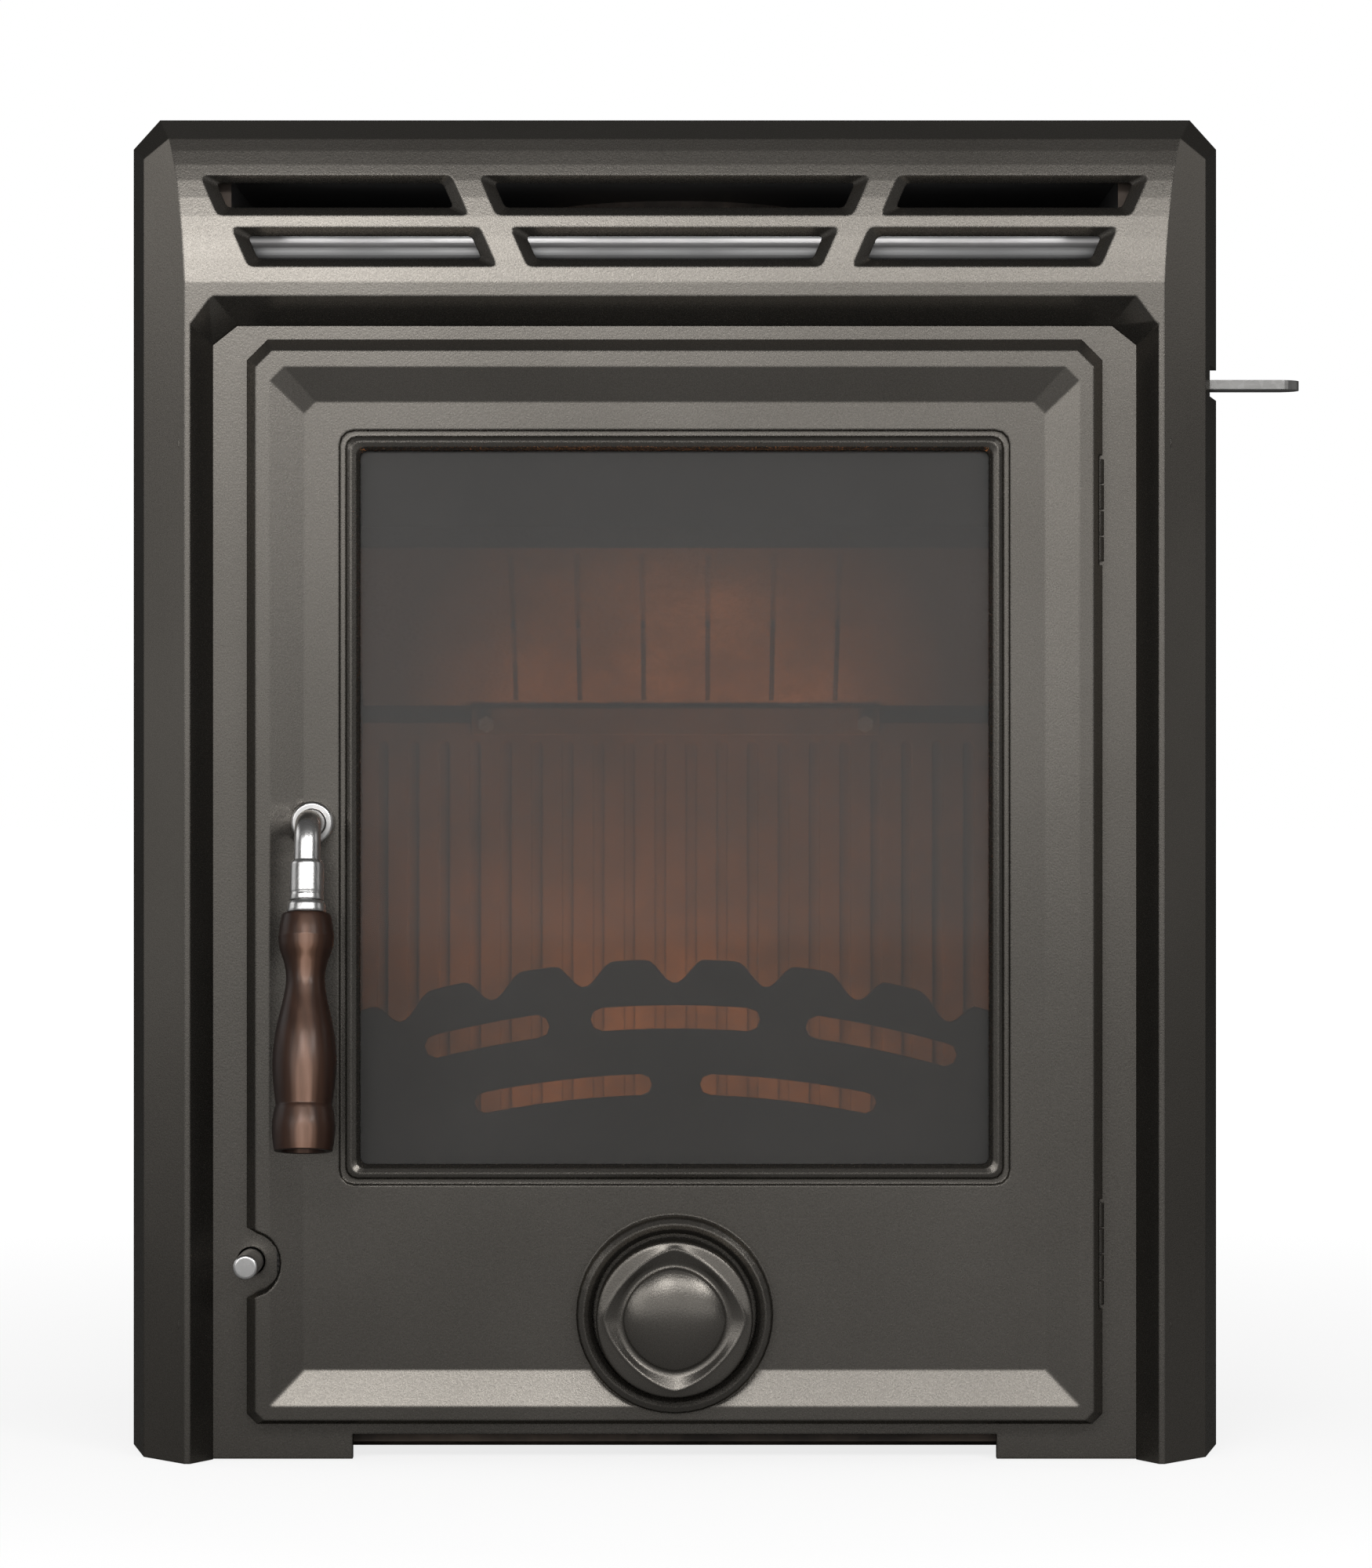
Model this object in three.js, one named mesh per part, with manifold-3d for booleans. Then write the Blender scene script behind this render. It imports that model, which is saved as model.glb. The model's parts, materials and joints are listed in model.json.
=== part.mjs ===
// A cast-iron inset stove for a fireplace opening, with a glazed door, a spin-wheel air
// control, a riddling rod and an airwash lever.
// Millimetres, +Z up. X runs to the right, the front faces -Y, the hearth is z = 0 and
// y = 0 is the wall plane, where the back edge of the surround sits.
import * as THREE from 'three';
import { mergeVertices } from 'three/addons/utils/BufferGeometryUtils.js';
import Module from 'manifold-3d';

const wasm = await Module();
wasm.setup();

// ---------------------------------------------------------------- driving dimensions

const GAP = 0.3; // between pieces that touch
const BEYOND = 3; // how far a cutter runs past the face it opens

const SURROUND = { half: 240, height: 587, wall: 5.5 };
const FLARE = { half: 231, y: -42.7 }; // where the side flare turns into the outer slope
const RIDGE = { half: 211, y: -66 }; // front-most plane of the surround
const CROWN = { crease: 508.8, topZ: 571.7, topY: -57.3, startTilt: 0.055, rise: 42 };
// The cut top corners, and how far each cut moves in and down from the wall plane to the front.
const CORNER = { x: 228.6, z: 586.6, run: 11.1, rise: 12.3, inwards: 10, downwards: 14.9 };
const RECESS = {
  front: { half: 208.6, top: 502.9, cutX: 9.8, cutZ: 12.2 },
  back: { half: 200, top: 491.1, cutX: 10.5, cutZ: 8.3 },
  backY: -51,
  lip: 5,
};
const LEVER_NOTCH = { y: -26, low: 462.6, high: 476 };

// Each slot is a dished rim that narrows to a hole; centre, inner and outer are where the rims end.
const SLOT_ROWS = [
  {
    top: 555.8, bottom: 537.2, holeTop: 552.4, holeBottom: 541.6,
    centre: 85.5, inner: 95.5, outer: 205.6,
  },
  {
    top: 533.2, bottom: 514.9, holeTop: 529.2, holeBottom: 519.1,
    centre: 72, inner: 83.2, outer: 192.1,
  },
];
const SLOT = { lean: 8, endTaper: 6.2, radius: 2.4 };

const PLATE = { half: 215.5, top: 500, front: -51, thick: 6 };
const APERTURE = { half: 164, low: 40, high: 461, radius: 6 };
const FOOT_GAP = { half: 139.6, high: 11 };

const DOOR = { half: 184.7, low: 16.5, high: 484.6, faceY: -64, panelY: -58.7, backY: -51.3 };
const FACE = { half: 180.5, low: 18.6, high: 479.3 };
const BEVEL_OUT = { half: 174.5, low: 24.6, high: 472.5 };
const BEVEL_IN = { half: 160, low: 39.6, high: 457.7 };
const GLAZING = { half: 137.5, low: 126.8, high: 438.3 };
const ROPE = { inner: 164.5, outer: 172.5, floorY: -56 };
const GLASS = { grow: 6, front: -53.8, thick: 4 };

const HINGE = { x: 182.5, y: -57.5, radius: 3, pin: 1.45, bore: 1.75, pitch: 11.2, knuckle: 10.4 };
const HINGE_CENTRES = { upper: 410.9, lower: 89.8 };

const WHEEL = { z: 64.2, ring: 42.4, well: 35.4, wellY: -62, ringY: -70, radius: 33.5, lipY: -87 };
const LIP = { half: 30.1, power: 1.5 };
const DOME = { half: 22.9, power: 1.85, baseY: -83, height: 6.8 };
const SPINDLE = { radius: 5, bore: 5.4, front: -77 };

const HANDLE = { x: -156.1, z: 276, shaft: 5.65, reach: -91, bend: 7, lean: 10 };
const COLLAR = { radius: 7.25, from: 16, long: 17.6 };
const FERRULE = { radius: 8.3, long: 5 };
const GRIP_LENGTH = 101;
const GRIP_FROM = COLLAR.from + COLLAR.long + FERRULE.long;

const RIDDLE = { x: -183.5, z: 86, radius: 5.4, front: -81, back: 62, notch: 14.7 };
const LINK = { left: -177.8, right: -48, low: 82, high: 89.6, front: 41.6, back: 48.4 };
const LINK_TOE = { left: -58, high: 94.7 }; // the end that turns up under the moving grate
const LINK_SLOT = { front: 8, back: 55, low: 80, high: 91.5 };
const LEVER = { z: 466, thick: 4.1, front: -22, back: -4, left: -144, right: 275 };
const LEVER_SLOT = { front: -25, back: -1, low: 464, high: 473 };
const GUIDE = { half: 168, front: -44.4, back: -0.5, low: 462.3, high: 481.4, sheet: 1.5 };

const FIREBOX = {
  inner: 171, outer: 176, front: -44.7, back: 190.3, floor: 104, roof: 482, roofThick: 5,
};
const BASE = { low: 7, high: 11 };
const PLINTH = { half: 165, front: -3, back: 185, side: 25, crossbar: 43 };
const JACKET = { half: 195, thick: 2, back: 213, low: 12, top: 556 };
const FLUE = { y: 110, radius: 63.5, wall: 4.5, top: 580, flange: 69 };
const LINER = { half: 149.5, front: 168, back: 184, low: 110.3, high: 322 };
const GROOVE = { count: 20, pitch: 14.7, width: 5, depth: 3, top: 313.2 };
const GUARD = { half: 149, front: -22, thick: 5, low: 110.6, crest: 215.6, bow: 0.00118 };
const GUARD_NOTCH = { pitch: 40, half: 13, depth: 10.4 };
const BRICK = { x: 160, half: 10.3, front: -34, back: 183.5, low: 110.3, high: 320 };
const LEDGE = { half: 97, front: 160, wall: 167.5, back: 184, low: 316, shelf: 326, high: 329 };
const LEDGE_BOLT = { x: 90, z: 321 };
const RAIL = { x: 77.5, half: 3, toe: 4, front: -14, back: 150, low: 90.2, toeHigh: 93.5 };

// ---------------------------------------------------------------- geometry helpers

const ALONG_X = new THREE.Matrix4().makeBasis(
  new THREE.Vector3(0, 1, 0), new THREE.Vector3(0, 0, 1), new THREE.Vector3(1, 0, 0));
const ALONG_Y = new THREE.Matrix4().makeBasis(
  new THREE.Vector3(1, 0, 0), new THREE.Vector3(0, 0, 1), new THREE.Vector3(0, -1, 0));

// Turns every triangle round if the surface encloses a negative volume.
function faceOut(geometry) {
  const bare = mergeVertices(positionOnly(geometry), 1e-4);
  const p = bare.getAttribute('position');
  const index = bare.index.array;
  const a = new THREE.Vector3();
  const b = new THREE.Vector3();
  const c = new THREE.Vector3();
  let volume = 0;
  for (let i = 0; i < index.length; i += 3) {
    a.fromBufferAttribute(p, index[i]);
    b.fromBufferAttribute(p, index[i + 1]);
    c.fromBufferAttribute(p, index[i + 2]);
    volume += a.dot(b.cross(c));
  }
  if (volume < 0) {
    for (let i = 0; i < index.length; i += 3) {
      [index[i + 1], index[i + 2]] = [index[i + 2], index[i + 1]];
    }
  }
  return bare;
}

function positionOnly(geometry) {
  const bare = geometry.clone();
  bare.deleteAttribute('normal');
  bare.deleteAttribute('uv');
  return bare;
}

// A manifold solid from a three.js geometry; a piece that is a solid already passes through.
function toSolid(piece) {
  if (!(piece instanceof THREE.BufferGeometry)) return piece;
  const merged = faceOut(piece);
  return new wasm.Manifold(new wasm.Mesh({
    numProp: 3,
    vertProperties: new Float32Array(merged.getAttribute('position').array),
    triVerts: new Uint32Array(merged.index.array),
  }));
}

function toGeometry(solid) {
  const { vertProperties, triVerts } = solid.getMesh();
  const geometry = new THREE.BufferGeometry();
  geometry.setAttribute('position', new THREE.BufferAttribute(new Float32Array(vertProperties), 3));
  geometry.setIndex(new THREE.BufferAttribute(new Uint32Array(triVerts), 1));
  geometry.computeVertexNormals();
  return geometry;
}

// A base geometry with others joined to it and then others cut out of it.
function combine(base, { add = [], cut = [] } = {}) {
  const joined = add.reduce((solid, piece) => solid.add(toSolid(piece)), toSolid(base));
  return cut.reduce((solid, piece) => solid.subtract(toSolid(piece)), joined);
}

function block(x0, x1, y0, y1, z0, z1) {
  return new THREE.BoxGeometry(x1 - x0, y1 - y0, z1 - z0)
    .translate((x0 + x1) / 2, (y0 + y1) / 2, (z0 + z1) / 2);
}

function extrude(shape, depth, curveSegments) {
  return new THREE.ExtrudeGeometry(shape, { depth, bevelEnabled: false, curveSegments });
}

// The shape is drawn in X and Z, as seen from the front.
function frontExtrude(shape, y0, y1, curveSegments = 6) {
  return extrude(shape, y1 - y0, curveSegments).applyMatrix4(ALONG_Y).translate(0, y1, 0);
}

// The shape is drawn in Y and Z, as seen from the side.
function sideExtrude(shape, x0, x1, curveSegments = 6) {
  return extrude(shape, x1 - x0, curveSegments).applyMatrix4(ALONG_X).translate(x0, 0, 0);
}

// The shape is drawn in X and Y, as seen from above.
function planExtrude(shape, z0, z1, curveSegments = 6) {
  return extrude(shape, z1 - z0, curveSegments).translate(0, 0, z0);
}

function polygon(points) {
  return new THREE.Shape(points.map(([a, b]) => new THREE.Vector2(a, b)));
}

function roundedRect(a0, a1, b0, b1, radius, into = new THREE.Shape()) {
  into.moveTo(a0 + radius, b0);
  into.lineTo(a1 - radius, b0);
  into.absarc(a1 - radius, b0 + radius, radius, -Math.PI / 2, 0, false);
  into.lineTo(a1, b1 - radius);
  into.absarc(a1 - radius, b1 - radius, radius, 0, Math.PI / 2, false);
  into.lineTo(a0 + radius, b1);
  into.absarc(a0 + radius, b1 - radius, radius, Math.PI / 2, Math.PI, false);
  into.lineTo(a0, b0 + radius);
  into.absarc(a0 + radius, b0 + radius, radius, Math.PI, Math.PI * 1.5, false);
  return into;
}

// Revolved about an axis along Y; profile points are [radius, y].
function turned(profile, segments = 24) {
  return faceOut(new THREE.LatheGeometry(profile.map(([r, y]) => new THREE.Vector2(r, y)), segments));
}

function rod(radius, y0, y1, segments = 16) {
  return turned([[0, y0], [radius, y0], [radius, y1], [0, y1]], segments);
}

// A plain upright cylinder.
function post(radius, z0, z1, segments = 16) {
  return rod(radius, z0, z1, segments).rotateX(Math.PI / 2);
}

function tube(outer, inner, y0, y1, segments = 24) {
  return turned([[inner, y0], [outer, y0], [outer, y1], [inner, y1], [inner, y0]], segments);
}

// Triangles that fill a ring, wound the way the ring runs; ShapeUtils winds its own one way only.
function cap(ring) {
  const flat = ring.map((p) => new THREE.Vector2(p.x, p.z));
  const triangles = THREE.ShapeUtils.triangulateShape(flat, []);
  return THREE.ShapeUtils.area(flat) > 0 ? triangles : triangles.map(([a, b, c]) => [a, c, b]);
}

// Skins a run of rings with equal counts of points. A closed run joins its last ring to its
// first, like a picture frame; an open one gets a flat cap at each end.
function loft(rings, closed = false) {
  const count = rings[0].length;
  const index = [];
  const spans = closed ? rings.length : rings.length - 1;
  for (let r = 0; r < spans; r++) {
    const here = r * count;
    const next = ((r + 1) % rings.length) * count;
    for (let i = 0; i < count; i++) {
      const j = (i + 1) % count;
      index.push(here + i, next + i, next + j, here + i, next + j, here + j);
    }
  }
  if (!closed) {
    const last = (rings.length - 1) * count;
    for (const [a, b, c] of cap(rings[0])) index.push(a, b, c);
    for (const [a, b, c] of cap(rings.at(-1))) index.push(last + a, last + c, last + b);
  }
  const geometry = new THREE.BufferGeometry().setFromPoints(rings.flat());
  geometry.setIndex(index);
  return faceOut(geometry);
}

// A rectangle seen from the front, with cut or rounded corners, as one ring at depth y.
const CORNER_POINTS = 4;
function frameRing({ half, low, high, y, top, bottom = top, round = false }) {
  const corners = [
    { x: half - bottom, z: low + bottom, cut: bottom, turn: -90 },
    { x: half - top, z: high - top, cut: top, turn: 0 },
    { x: top - half, z: high - top, cut: top, turn: 90 },
    { x: bottom - half, z: low + bottom, cut: bottom, turn: 180 },
  ];
  return corners.flatMap(({ x, z, cut, turn }) => {
    const at = (degrees) => {
      const angle = THREE.MathUtils.degToRad(degrees);
      return new THREE.Vector3(x + cut * Math.cos(angle), y, z + cut * Math.sin(angle));
    };
    return Array.from({ length: CORNER_POINTS }, (_, i) => {
      const share = i / (CORNER_POINTS - 1);
      return round ? at(turn + 90 * share) : at(turn).lerp(at(turn + 90), share);
    });
  });
}

// The same rectangle, moved out by a distance (or in, if it is negative).
function grown({ half, low, high }, by) {
  return { half: half + by, low: low - by, high: high + by };
}

// ---------------------------------------------------------------- materials

const finish = (color, roughness, metalness, extra = {}) =>
  new THREE.MeshStandardMaterial({ color, roughness, metalness, ...extra });
const castIron = finish(0x5f5b55, 0.55, 0.35);
const innerIron = finish(0x3a3632, 0.8, 0.3);
const brightSteel = finish(0xb9b8b6, 0.28, 0.9);
const sheetSteel = finish(0x4a4a4b, 0.5, 0.7);
const fireclay = finish(0x8d7f6c, 0.95, 0);
const varnishedWood = finish(0x3a2018, 0.3, 0);
const ceramicGlass = finish(0x3c3a37, 0.05, 0, { transparent: true, opacity: 0.45 });
const ropeFibre = finish(0x2d2b29, 1, 0);

const stove = new THREE.Group();
function place(name, piece, material, parent = stove) {
  const geometry = piece instanceof THREE.BufferGeometry ? piece : toGeometry(piece);
  const mesh = new THREE.Mesh(geometry, material);
  mesh.name = name;
  parent.add(mesh);
  return mesh;
}

// ---------------------------------------------------------------- surround

// The crown leans back from the crease to the top edge, in a gentle bow.
const crownCurve = new THREE.QuadraticBezierCurve(
  new THREE.Vector2(RIDGE.y, CROWN.crease),
  new THREE.Vector2(RIDGE.y + CROWN.startTilt * CROWN.rise, CROWN.crease + CROWN.rise),
  new THREE.Vector2(CROWN.topY, CROWN.topZ),
);

function crownY(z) {
  const share = (z - CROWN.crease) / (CROWN.topZ - CROWN.crease);
  let t = share;
  for (let i = 0; i < 6; i++) t += (z - crownCurve.getPoint(t).y) / (CROWN.topZ - CROWN.crease);
  return crownCurve.getPoint(t).x;
}

// The surround's outer form, or the same form set in by a wall. The factors on the inset keep
// each corner of the inner form square behind the outer one, since the faces meet at a slant.
function surroundForm(inset) {
  const slope = Math.hypot(FLARE.half - RIDGE.half, RIDGE.y - FLARE.y);
  const slant = (FLARE.half - RIDGE.half) / (FLARE.y - RIDGE.y);
  const back = inset ? BEYOND : 0; // an inset form is a cutter, so it runs out past the wall plane
  const plan = [
    [SURROUND.half - inset + back * 0.2, back],
    [FLARE.half - inset * 0.93, FLARE.y + inset * 0.47],
    [RIDGE.half - inset * (slope / (FLARE.y - RIDGE.y) - slant), RIDGE.y + inset],
  ];
  const mirrored = plan.map(([x, y]) => [-x, y]).reverse();
  const bow = crownCurve.getPoints(8).map((p) => [p.x + inset, p.y - inset * 0.1]);
  const top = bow.pop();
  const side = [
    [back, -back],
    [RIDGE.y + inset, -back],
    ...bow,
    [top[0], top[1] - inset * 0.85],
    [back, SURROUND.height - inset * 1.03],
  ];
  const width = SURROUND.half + BEYOND;
  return toSolid(planExtrude(polygon([...plan, ...mirrored]), -back, SURROUND.height))
    .intersect(toSolid(sideExtrude(polygon(side), -width, width)));
}

// A wedge that takes off one top corner, along a plane that leans with the top face.
function cornerWedge(side, inset) {
  const shift = inset / Math.hypot(CORNER.run, CORNER.rise);
  const lean = (y) => -y / -CROWN.topY;
  const ring = (y) => {
    const x = CORNER.x - shift * CORNER.rise - CORNER.inwards * lean(y);
    const z = CORNER.z - shift * CORNER.run - CORNER.downwards * lean(y);
    const run = 3 * CORNER.run;
    const rise = 3 * CORNER.rise;
    return [
      new THREE.Vector3(side * (x + run), y, z - rise),
      new THREE.Vector3(side * (x + 3 * run), y, z + 2 * rise),
      new THREE.Vector3(side * (x - run), y, z + rise),
    ];
  };
  return loft([ring(-75), ring(BEYOND + 2)]);
}

// The sloping sides of the recess that frames the door, widened by a lip if asked.
function recessForm(lip, backY) {
  const { front, back } = RECESS;
  const ring = (y, share) => {
    const mix = (key) => THREE.MathUtils.lerp(back[key], front[key], share);
    const half = mix('half') + lip;
    const top = mix('top') + lip;
    return [
      [-half, -BEYOND], [half, -BEYOND], [half, top - mix('cutZ')],
      [half - mix('cutX'), top], [mix('cutX') - half, top], [-half, top - mix('cutZ')],
    ].map(([x, z]) => new THREE.Vector3(x, y, z));
  };
  const depth = RECESS.backY - RIDGE.y;
  const rings = [ring(RIDGE.y - BEYOND, 1 + BEYOND / depth), ring(RECESS.backY, 0)];
  if (backY > RECESS.backY) rings.push(ring(backY, 0));
  return loft(rings);
}

// Corner points of one grille slot, clockwise from the top left. The side is -1, 0 or 1.
function slotCorners(row, side, hole) {
  const top = hole ? row.holeTop : row.top;
  const bottom = hole ? row.holeBottom : row.bottom;
  const taper = hole ? SLOT.endTaper : 0;
  const leanAt = (z) => (SLOT.lean * (row.top - z)) / (row.top - row.bottom);
  const ends = side === 0
    ? (z) => [leanAt(z) - row.centre + taper, row.centre - leanAt(z) - taper]
    : (z) => [leanAt(z) - row.outer + taper, leanAt(z) - row.inner - taper];
  const [topLeft, topRight] = ends(top);
  const [bottomLeft, bottomRight] = ends(bottom);
  const corners = [[topLeft, top], [topRight, top], [bottomRight, bottom], [bottomLeft, bottom]];
  return side > 0 ? corners.map(([x, z]) => [-x, z]).reverse() : corners;
}

// Rounds a four-cornered outline: three points on a curve at each corner.
function roundedRing(corners, radius, y) {
  const points = corners.map(([x, z]) => new THREE.Vector2(x, z));
  return points.flatMap((corner, i) => {
    const before = points[(i + points.length - 1) % points.length];
    const after = points[(i + 1) % points.length];
    const enter = corner.clone().add(before.clone().sub(corner).setLength(radius));
    const leave = corner.clone().add(after.clone().sub(corner).setLength(radius));
    const curve = new THREE.QuadraticBezierCurve(enter, corner, leave);
    return curve.getPoints(2).map((p) => new THREE.Vector3(p.x, y(p.y), p.y));
  });
}

// Cuts one slot: its rim slopes in over most of the wall, and the hole goes straight on.
function slotCutter(row, side) {
  const wall = SURROUND.wall;
  const inFront = (z) => crownY(z) - 0.6;
  const behind = (z) => crownY(z) + wall + 1.5;
  const outer = slotCorners(row, side, false);
  const hole = slotCorners(row, side, true);
  return loft([
    roundedRing(outer, SLOT.radius, inFront),
    roundedRing(hole, SLOT.radius * 0.75, (z) => crownY(z) + wall * 0.8),
    roundedRing(hole, SLOT.radius * 0.75, behind),
  ]);
}

const BOLTS = [[-209.5, 60], [209.5, 60], [-209.5, 440], [209.5, 440]];

function surround() {
  const cavity = surroundForm(SURROUND.wall)
    .subtract(toSolid(cornerWedge(-1, SURROUND.wall)))
    .subtract(toSolid(cornerWedge(1, SURROUND.wall)))
    .subtract(toSolid(recessForm(RECESS.lip, RECESS.backY)));
  const bosses = BOLTS.map(([x, z]) => rod(4.8, RIDGE.y + 3, DOOR.backY, 12).translate(x, 0, z));
  const screwHoles = BOLTS.map(([x, z]) => rod(3.1, -59, -45, 10).translate(x, 0, z));
  const slots = SLOT_ROWS.flatMap((row) => [-1, 0, 1].map((side) => slotCutter(row, side)));
  const { y: notchY, low, high } = LEVER_NOTCH;
  const notch = block(FLARE.half - 11, SURROUND.half + 10, notchY, BEYOND, low, high);
  return combine(surroundForm(0).subtract(cavity), {
    add: bosses,
    cut: [
      cornerWedge(-1, 0), cornerWedge(1, 0), recessForm(0, BEYOND), notch, ...screwHoles, ...slots,
    ],
  });
}

function surroundBolt() {
  const plateBack = PLATE.front + PLATE.thick;
  const head = new THREE.CylinderGeometry(5.2, 5.2, 4, 6).translate(0, plateBack + GAP + 2, 0);
  return combine(head, { add: [rod(2.7, -58, plateBack + 1, 12)] });
}

place('surround', surround(), castIron);
BOLTS.forEach(([x, z], i) => {
  place(`surround_bolt_${i + 1}`, surroundBolt(), sheetSteel).position.set(x, 0, z);
});

// ---------------------------------------------------------------- front plate and hinges

const knuckleLow = (centre, n) => centre + (2 - n) * HINGE.pitch - HINGE.knuckle - 0.4;

// Knuckles are counted from the top: the door has 1 and 3, the plate 2 and 4.
function knuckles(centre, numbers, web) {
  return numbers.flatMap((n) => {
    const low = knuckleLow(centre, n - 1);
    return [
      post(HINGE.radius, low, low + HINGE.knuckle, 16).translate(HINGE.x, HINGE.y, 0),
      web(low, low + HINGE.knuckle),
    ];
  });
}

const pinBores = () => Object.values(HINGE_CENTRES).map((centre) =>
  post(HINGE.bore, centre - 30, centre + 30, 12).translate(HINGE.x, HINGE.y, 0));

function frontPlate() {
  const { half, top, front, thick } = PLATE;
  const outline = polygon([
    [-half, GAP], [-FOOT_GAP.half, GAP], [-FOOT_GAP.half, FOOT_GAP.high],
    [FOOT_GAP.half, FOOT_GAP.high], [FOOT_GAP.half, GAP], [half, GAP],
    [half, top - 22], [half - 22, top], [22 - half, top], [-half, top - 22],
  ]);
  const { half: open, low, high, radius } = APERTURE;
  outline.holes.push(roundedRect(-open, open, low, high, radius, new THREE.Path()));
  const web = (from, to) => block(HINGE.x - 1.2, HINGE.x + 1.2, HINGE.y, front + 1, from, to);
  const lugs = Object.values(HINGE_CENTRES).flatMap((centre) => knuckles(centre, [2, 4], web));
  const through = (radius, segments) => rod(radius, front - 1, front + thick + 1, segments);
  const rodHole = through(RIDDLE.radius + 0.8, 20).translate(RIDDLE.x, 0, RIDDLE.z);
  const boltHoles = BOLTS.map(([x, z]) => through(3.1, 10).translate(x, 0, z));
  return combine(frontExtrude(outline, front, front + thick), {
    add: lugs,
    cut: [rodHole, ...boltHoles, ...pinBores()],
  });
}

place('front_plate', frontPlate(), castIron);
for (const [name, centre] of Object.entries(HINGE_CENTRES)) {
  const long = 2 * HINGE.pitch;
  place(`hinge_pin_${name}`, post(HINGE.pin, centre - long, centre + long, 12), brightSteel)
    .position.set(HINGE.x, HINGE.y, 0);
}

// A hardened catch behind the plate, beside the latch cam.
function doorCatch() {
  const { front, thick } = PLATE;
  const seat = front + thick + GAP;
  const outer = -170.7;
  const inner = -APERTURE.half - GAP;
  const shape = polygon([
    [outer, seat], [inner, seat], [inner, seat + 5], [inner - 2.7, seat + 9], [outer, seat + 9],
  ]);
  return planExtrude(shape, HANDLE.z - 14, HANDLE.z + 14);
}
place('door_catch', doorCatch(), brightSteel);

// ---------------------------------------------------------------- firebox

// A slot right through a side wall that lies between two X planes.
function slotThroughWall(x0, x1, { front, back, low, high }) {
  return block(x0 - 1, x1 + 1, front, back, low, high);
}

function firebox() {
  const { inner, outer, front, back, roof, roofThick } = FIREBOX;
  const low = BASE.high + GAP;
  const high = roof - GAP;
  place('firebox_base', block(-outer, outer, front, back + 5, BASE.low, BASE.high), innerIron);
  const left = combine(block(-outer, -inner, front, back, low, high), {
    cut: [slotThroughWall(-outer, -inner, LINK_SLOT)],
  });
  const right = combine(block(inner, outer, front, back, low, high), {
    cut: [slotThroughWall(inner, outer, LEVER_SLOT)],
  });
  place('firebox_left_wall', left, innerIron);
  place('firebox_right_wall', right, innerIron);
  place('firebox_back_wall', block(-outer, outer, back + GAP, back + 5, low, high), innerIron);
  const flueHole = post(FLUE.radius - FLUE.wall, roof - 1, roof + roofThick + 1, 32);
  const roofPlate = combine(block(-outer, outer, front, back + 5, roof, roof + roofThick), {
    cut: [flueHole.translate(0, FLUE.y, 0)],
  });
  place('firebox_roof', roofPlate, innerIron);
}
firebox();

// A flat U of bar that carries the base off the hearth and lets air under it.
function basePlinth() {
  const { half, front, back, side, crossbar } = PLINTH;
  const inside = half - side;
  const bar = front + crossbar;
  const shape = polygon([
    [-half, front], [half, front], [half, back], [inside, back],
    [inside, bar], [-inside, bar], [-inside, back], [-half, back],
  ]);
  return planExtrude(shape, 0, BASE.low - GAP);
}
place('base_plinth', basePlinth(), innerIron);

function flueCollar() {
  const inner = FLUE.radius - FLUE.wall;
  const low = FIREBOX.roof + FIREBOX.roofThick + GAP;
  const profile = [
    [inner, low], [FLUE.flange, low], [FLUE.flange, low + 4], [FLUE.radius + 2, low + 5],
    [FLUE.radius, low + 8], [FLUE.radius, FLUE.top], [inner, FLUE.top], [inner, low],
  ];
  return turned(profile, 32).rotateX(Math.PI / 2);
}
place('flue_collar', flueCollar(), innerIron).position.set(0, FLUE.y, 0);

// ---------------------------------------------------------------- convection jacket

function jacket() {
  const { half, thick, back, low, top } = JACKET;
  const front = FIREBOX.front;
  place('jacket_left', block(-half, thick - half, front, back, low, top), sheetSteel);
  const right = combine(block(half - thick, half, front, back, low, top), {
    cut: [slotThroughWall(half - thick, half, LEVER_SLOT)],
  });
  place('jacket_right', right, sheetSteel);
  const inside = half - thick - GAP;
  place('jacket_back', block(-inside, inside, back - thick, back, low, top), sheetSteel);
  const lid = combine(block(-half, half, front, back, top + GAP, top + GAP + thick), {
    cut: [post(FLUE.radius + 2, top - 1, top + thick + 2, 32).translate(0, FLUE.y, 0)],
  });
  place('jacket_top', lid, sheetSteel);
}
jacket();

// A bright sheet rolled over a round nose, which turns rising air towards the grille.
const NOSE = { y: -27, z: 525, radius: 14, sheet: 1.5, back: -10, tailY: -19, half: 190 };
function airDeflector() {
  const { y, z, radius, sheet, back, tailY, half } = NOSE;
  const tail = THREE.MathUtils.degToRad(215);
  const tailZ = z - radius - 8;
  const shape = new THREE.Shape();
  shape.moveTo(back, z + radius);
  shape.absarc(y, z, radius, Math.PI / 2, tail, false);
  shape.lineTo(tailY, tailZ);
  shape.lineTo(tailY + sheet, tailZ + sheet);
  shape.absarc(y, z, radius - sheet, tail, Math.PI / 2, true);
  shape.lineTo(back, z + radius - sheet);
  return sideExtrude(shape, -half, half, 14);
}
place('air_deflector', airDeflector(), brightSteel);

// An open channel behind the plate that feeds air down the glass.
function airwashGuide() {
  const { half, front, back, low, high, sheet } = GUIDE;
  const shape = polygon([
    [front, low], [back, low], [back, high], [front, high],
    [front, high - sheet], [back - sheet, high - sheet],
    [back - sheet, low + sheet], [front, low + sheet],
  ]);
  return sideExtrude(shape, -half, half);
}
place('airwash_guide', airwashGuide(), sheetSteel);

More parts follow.
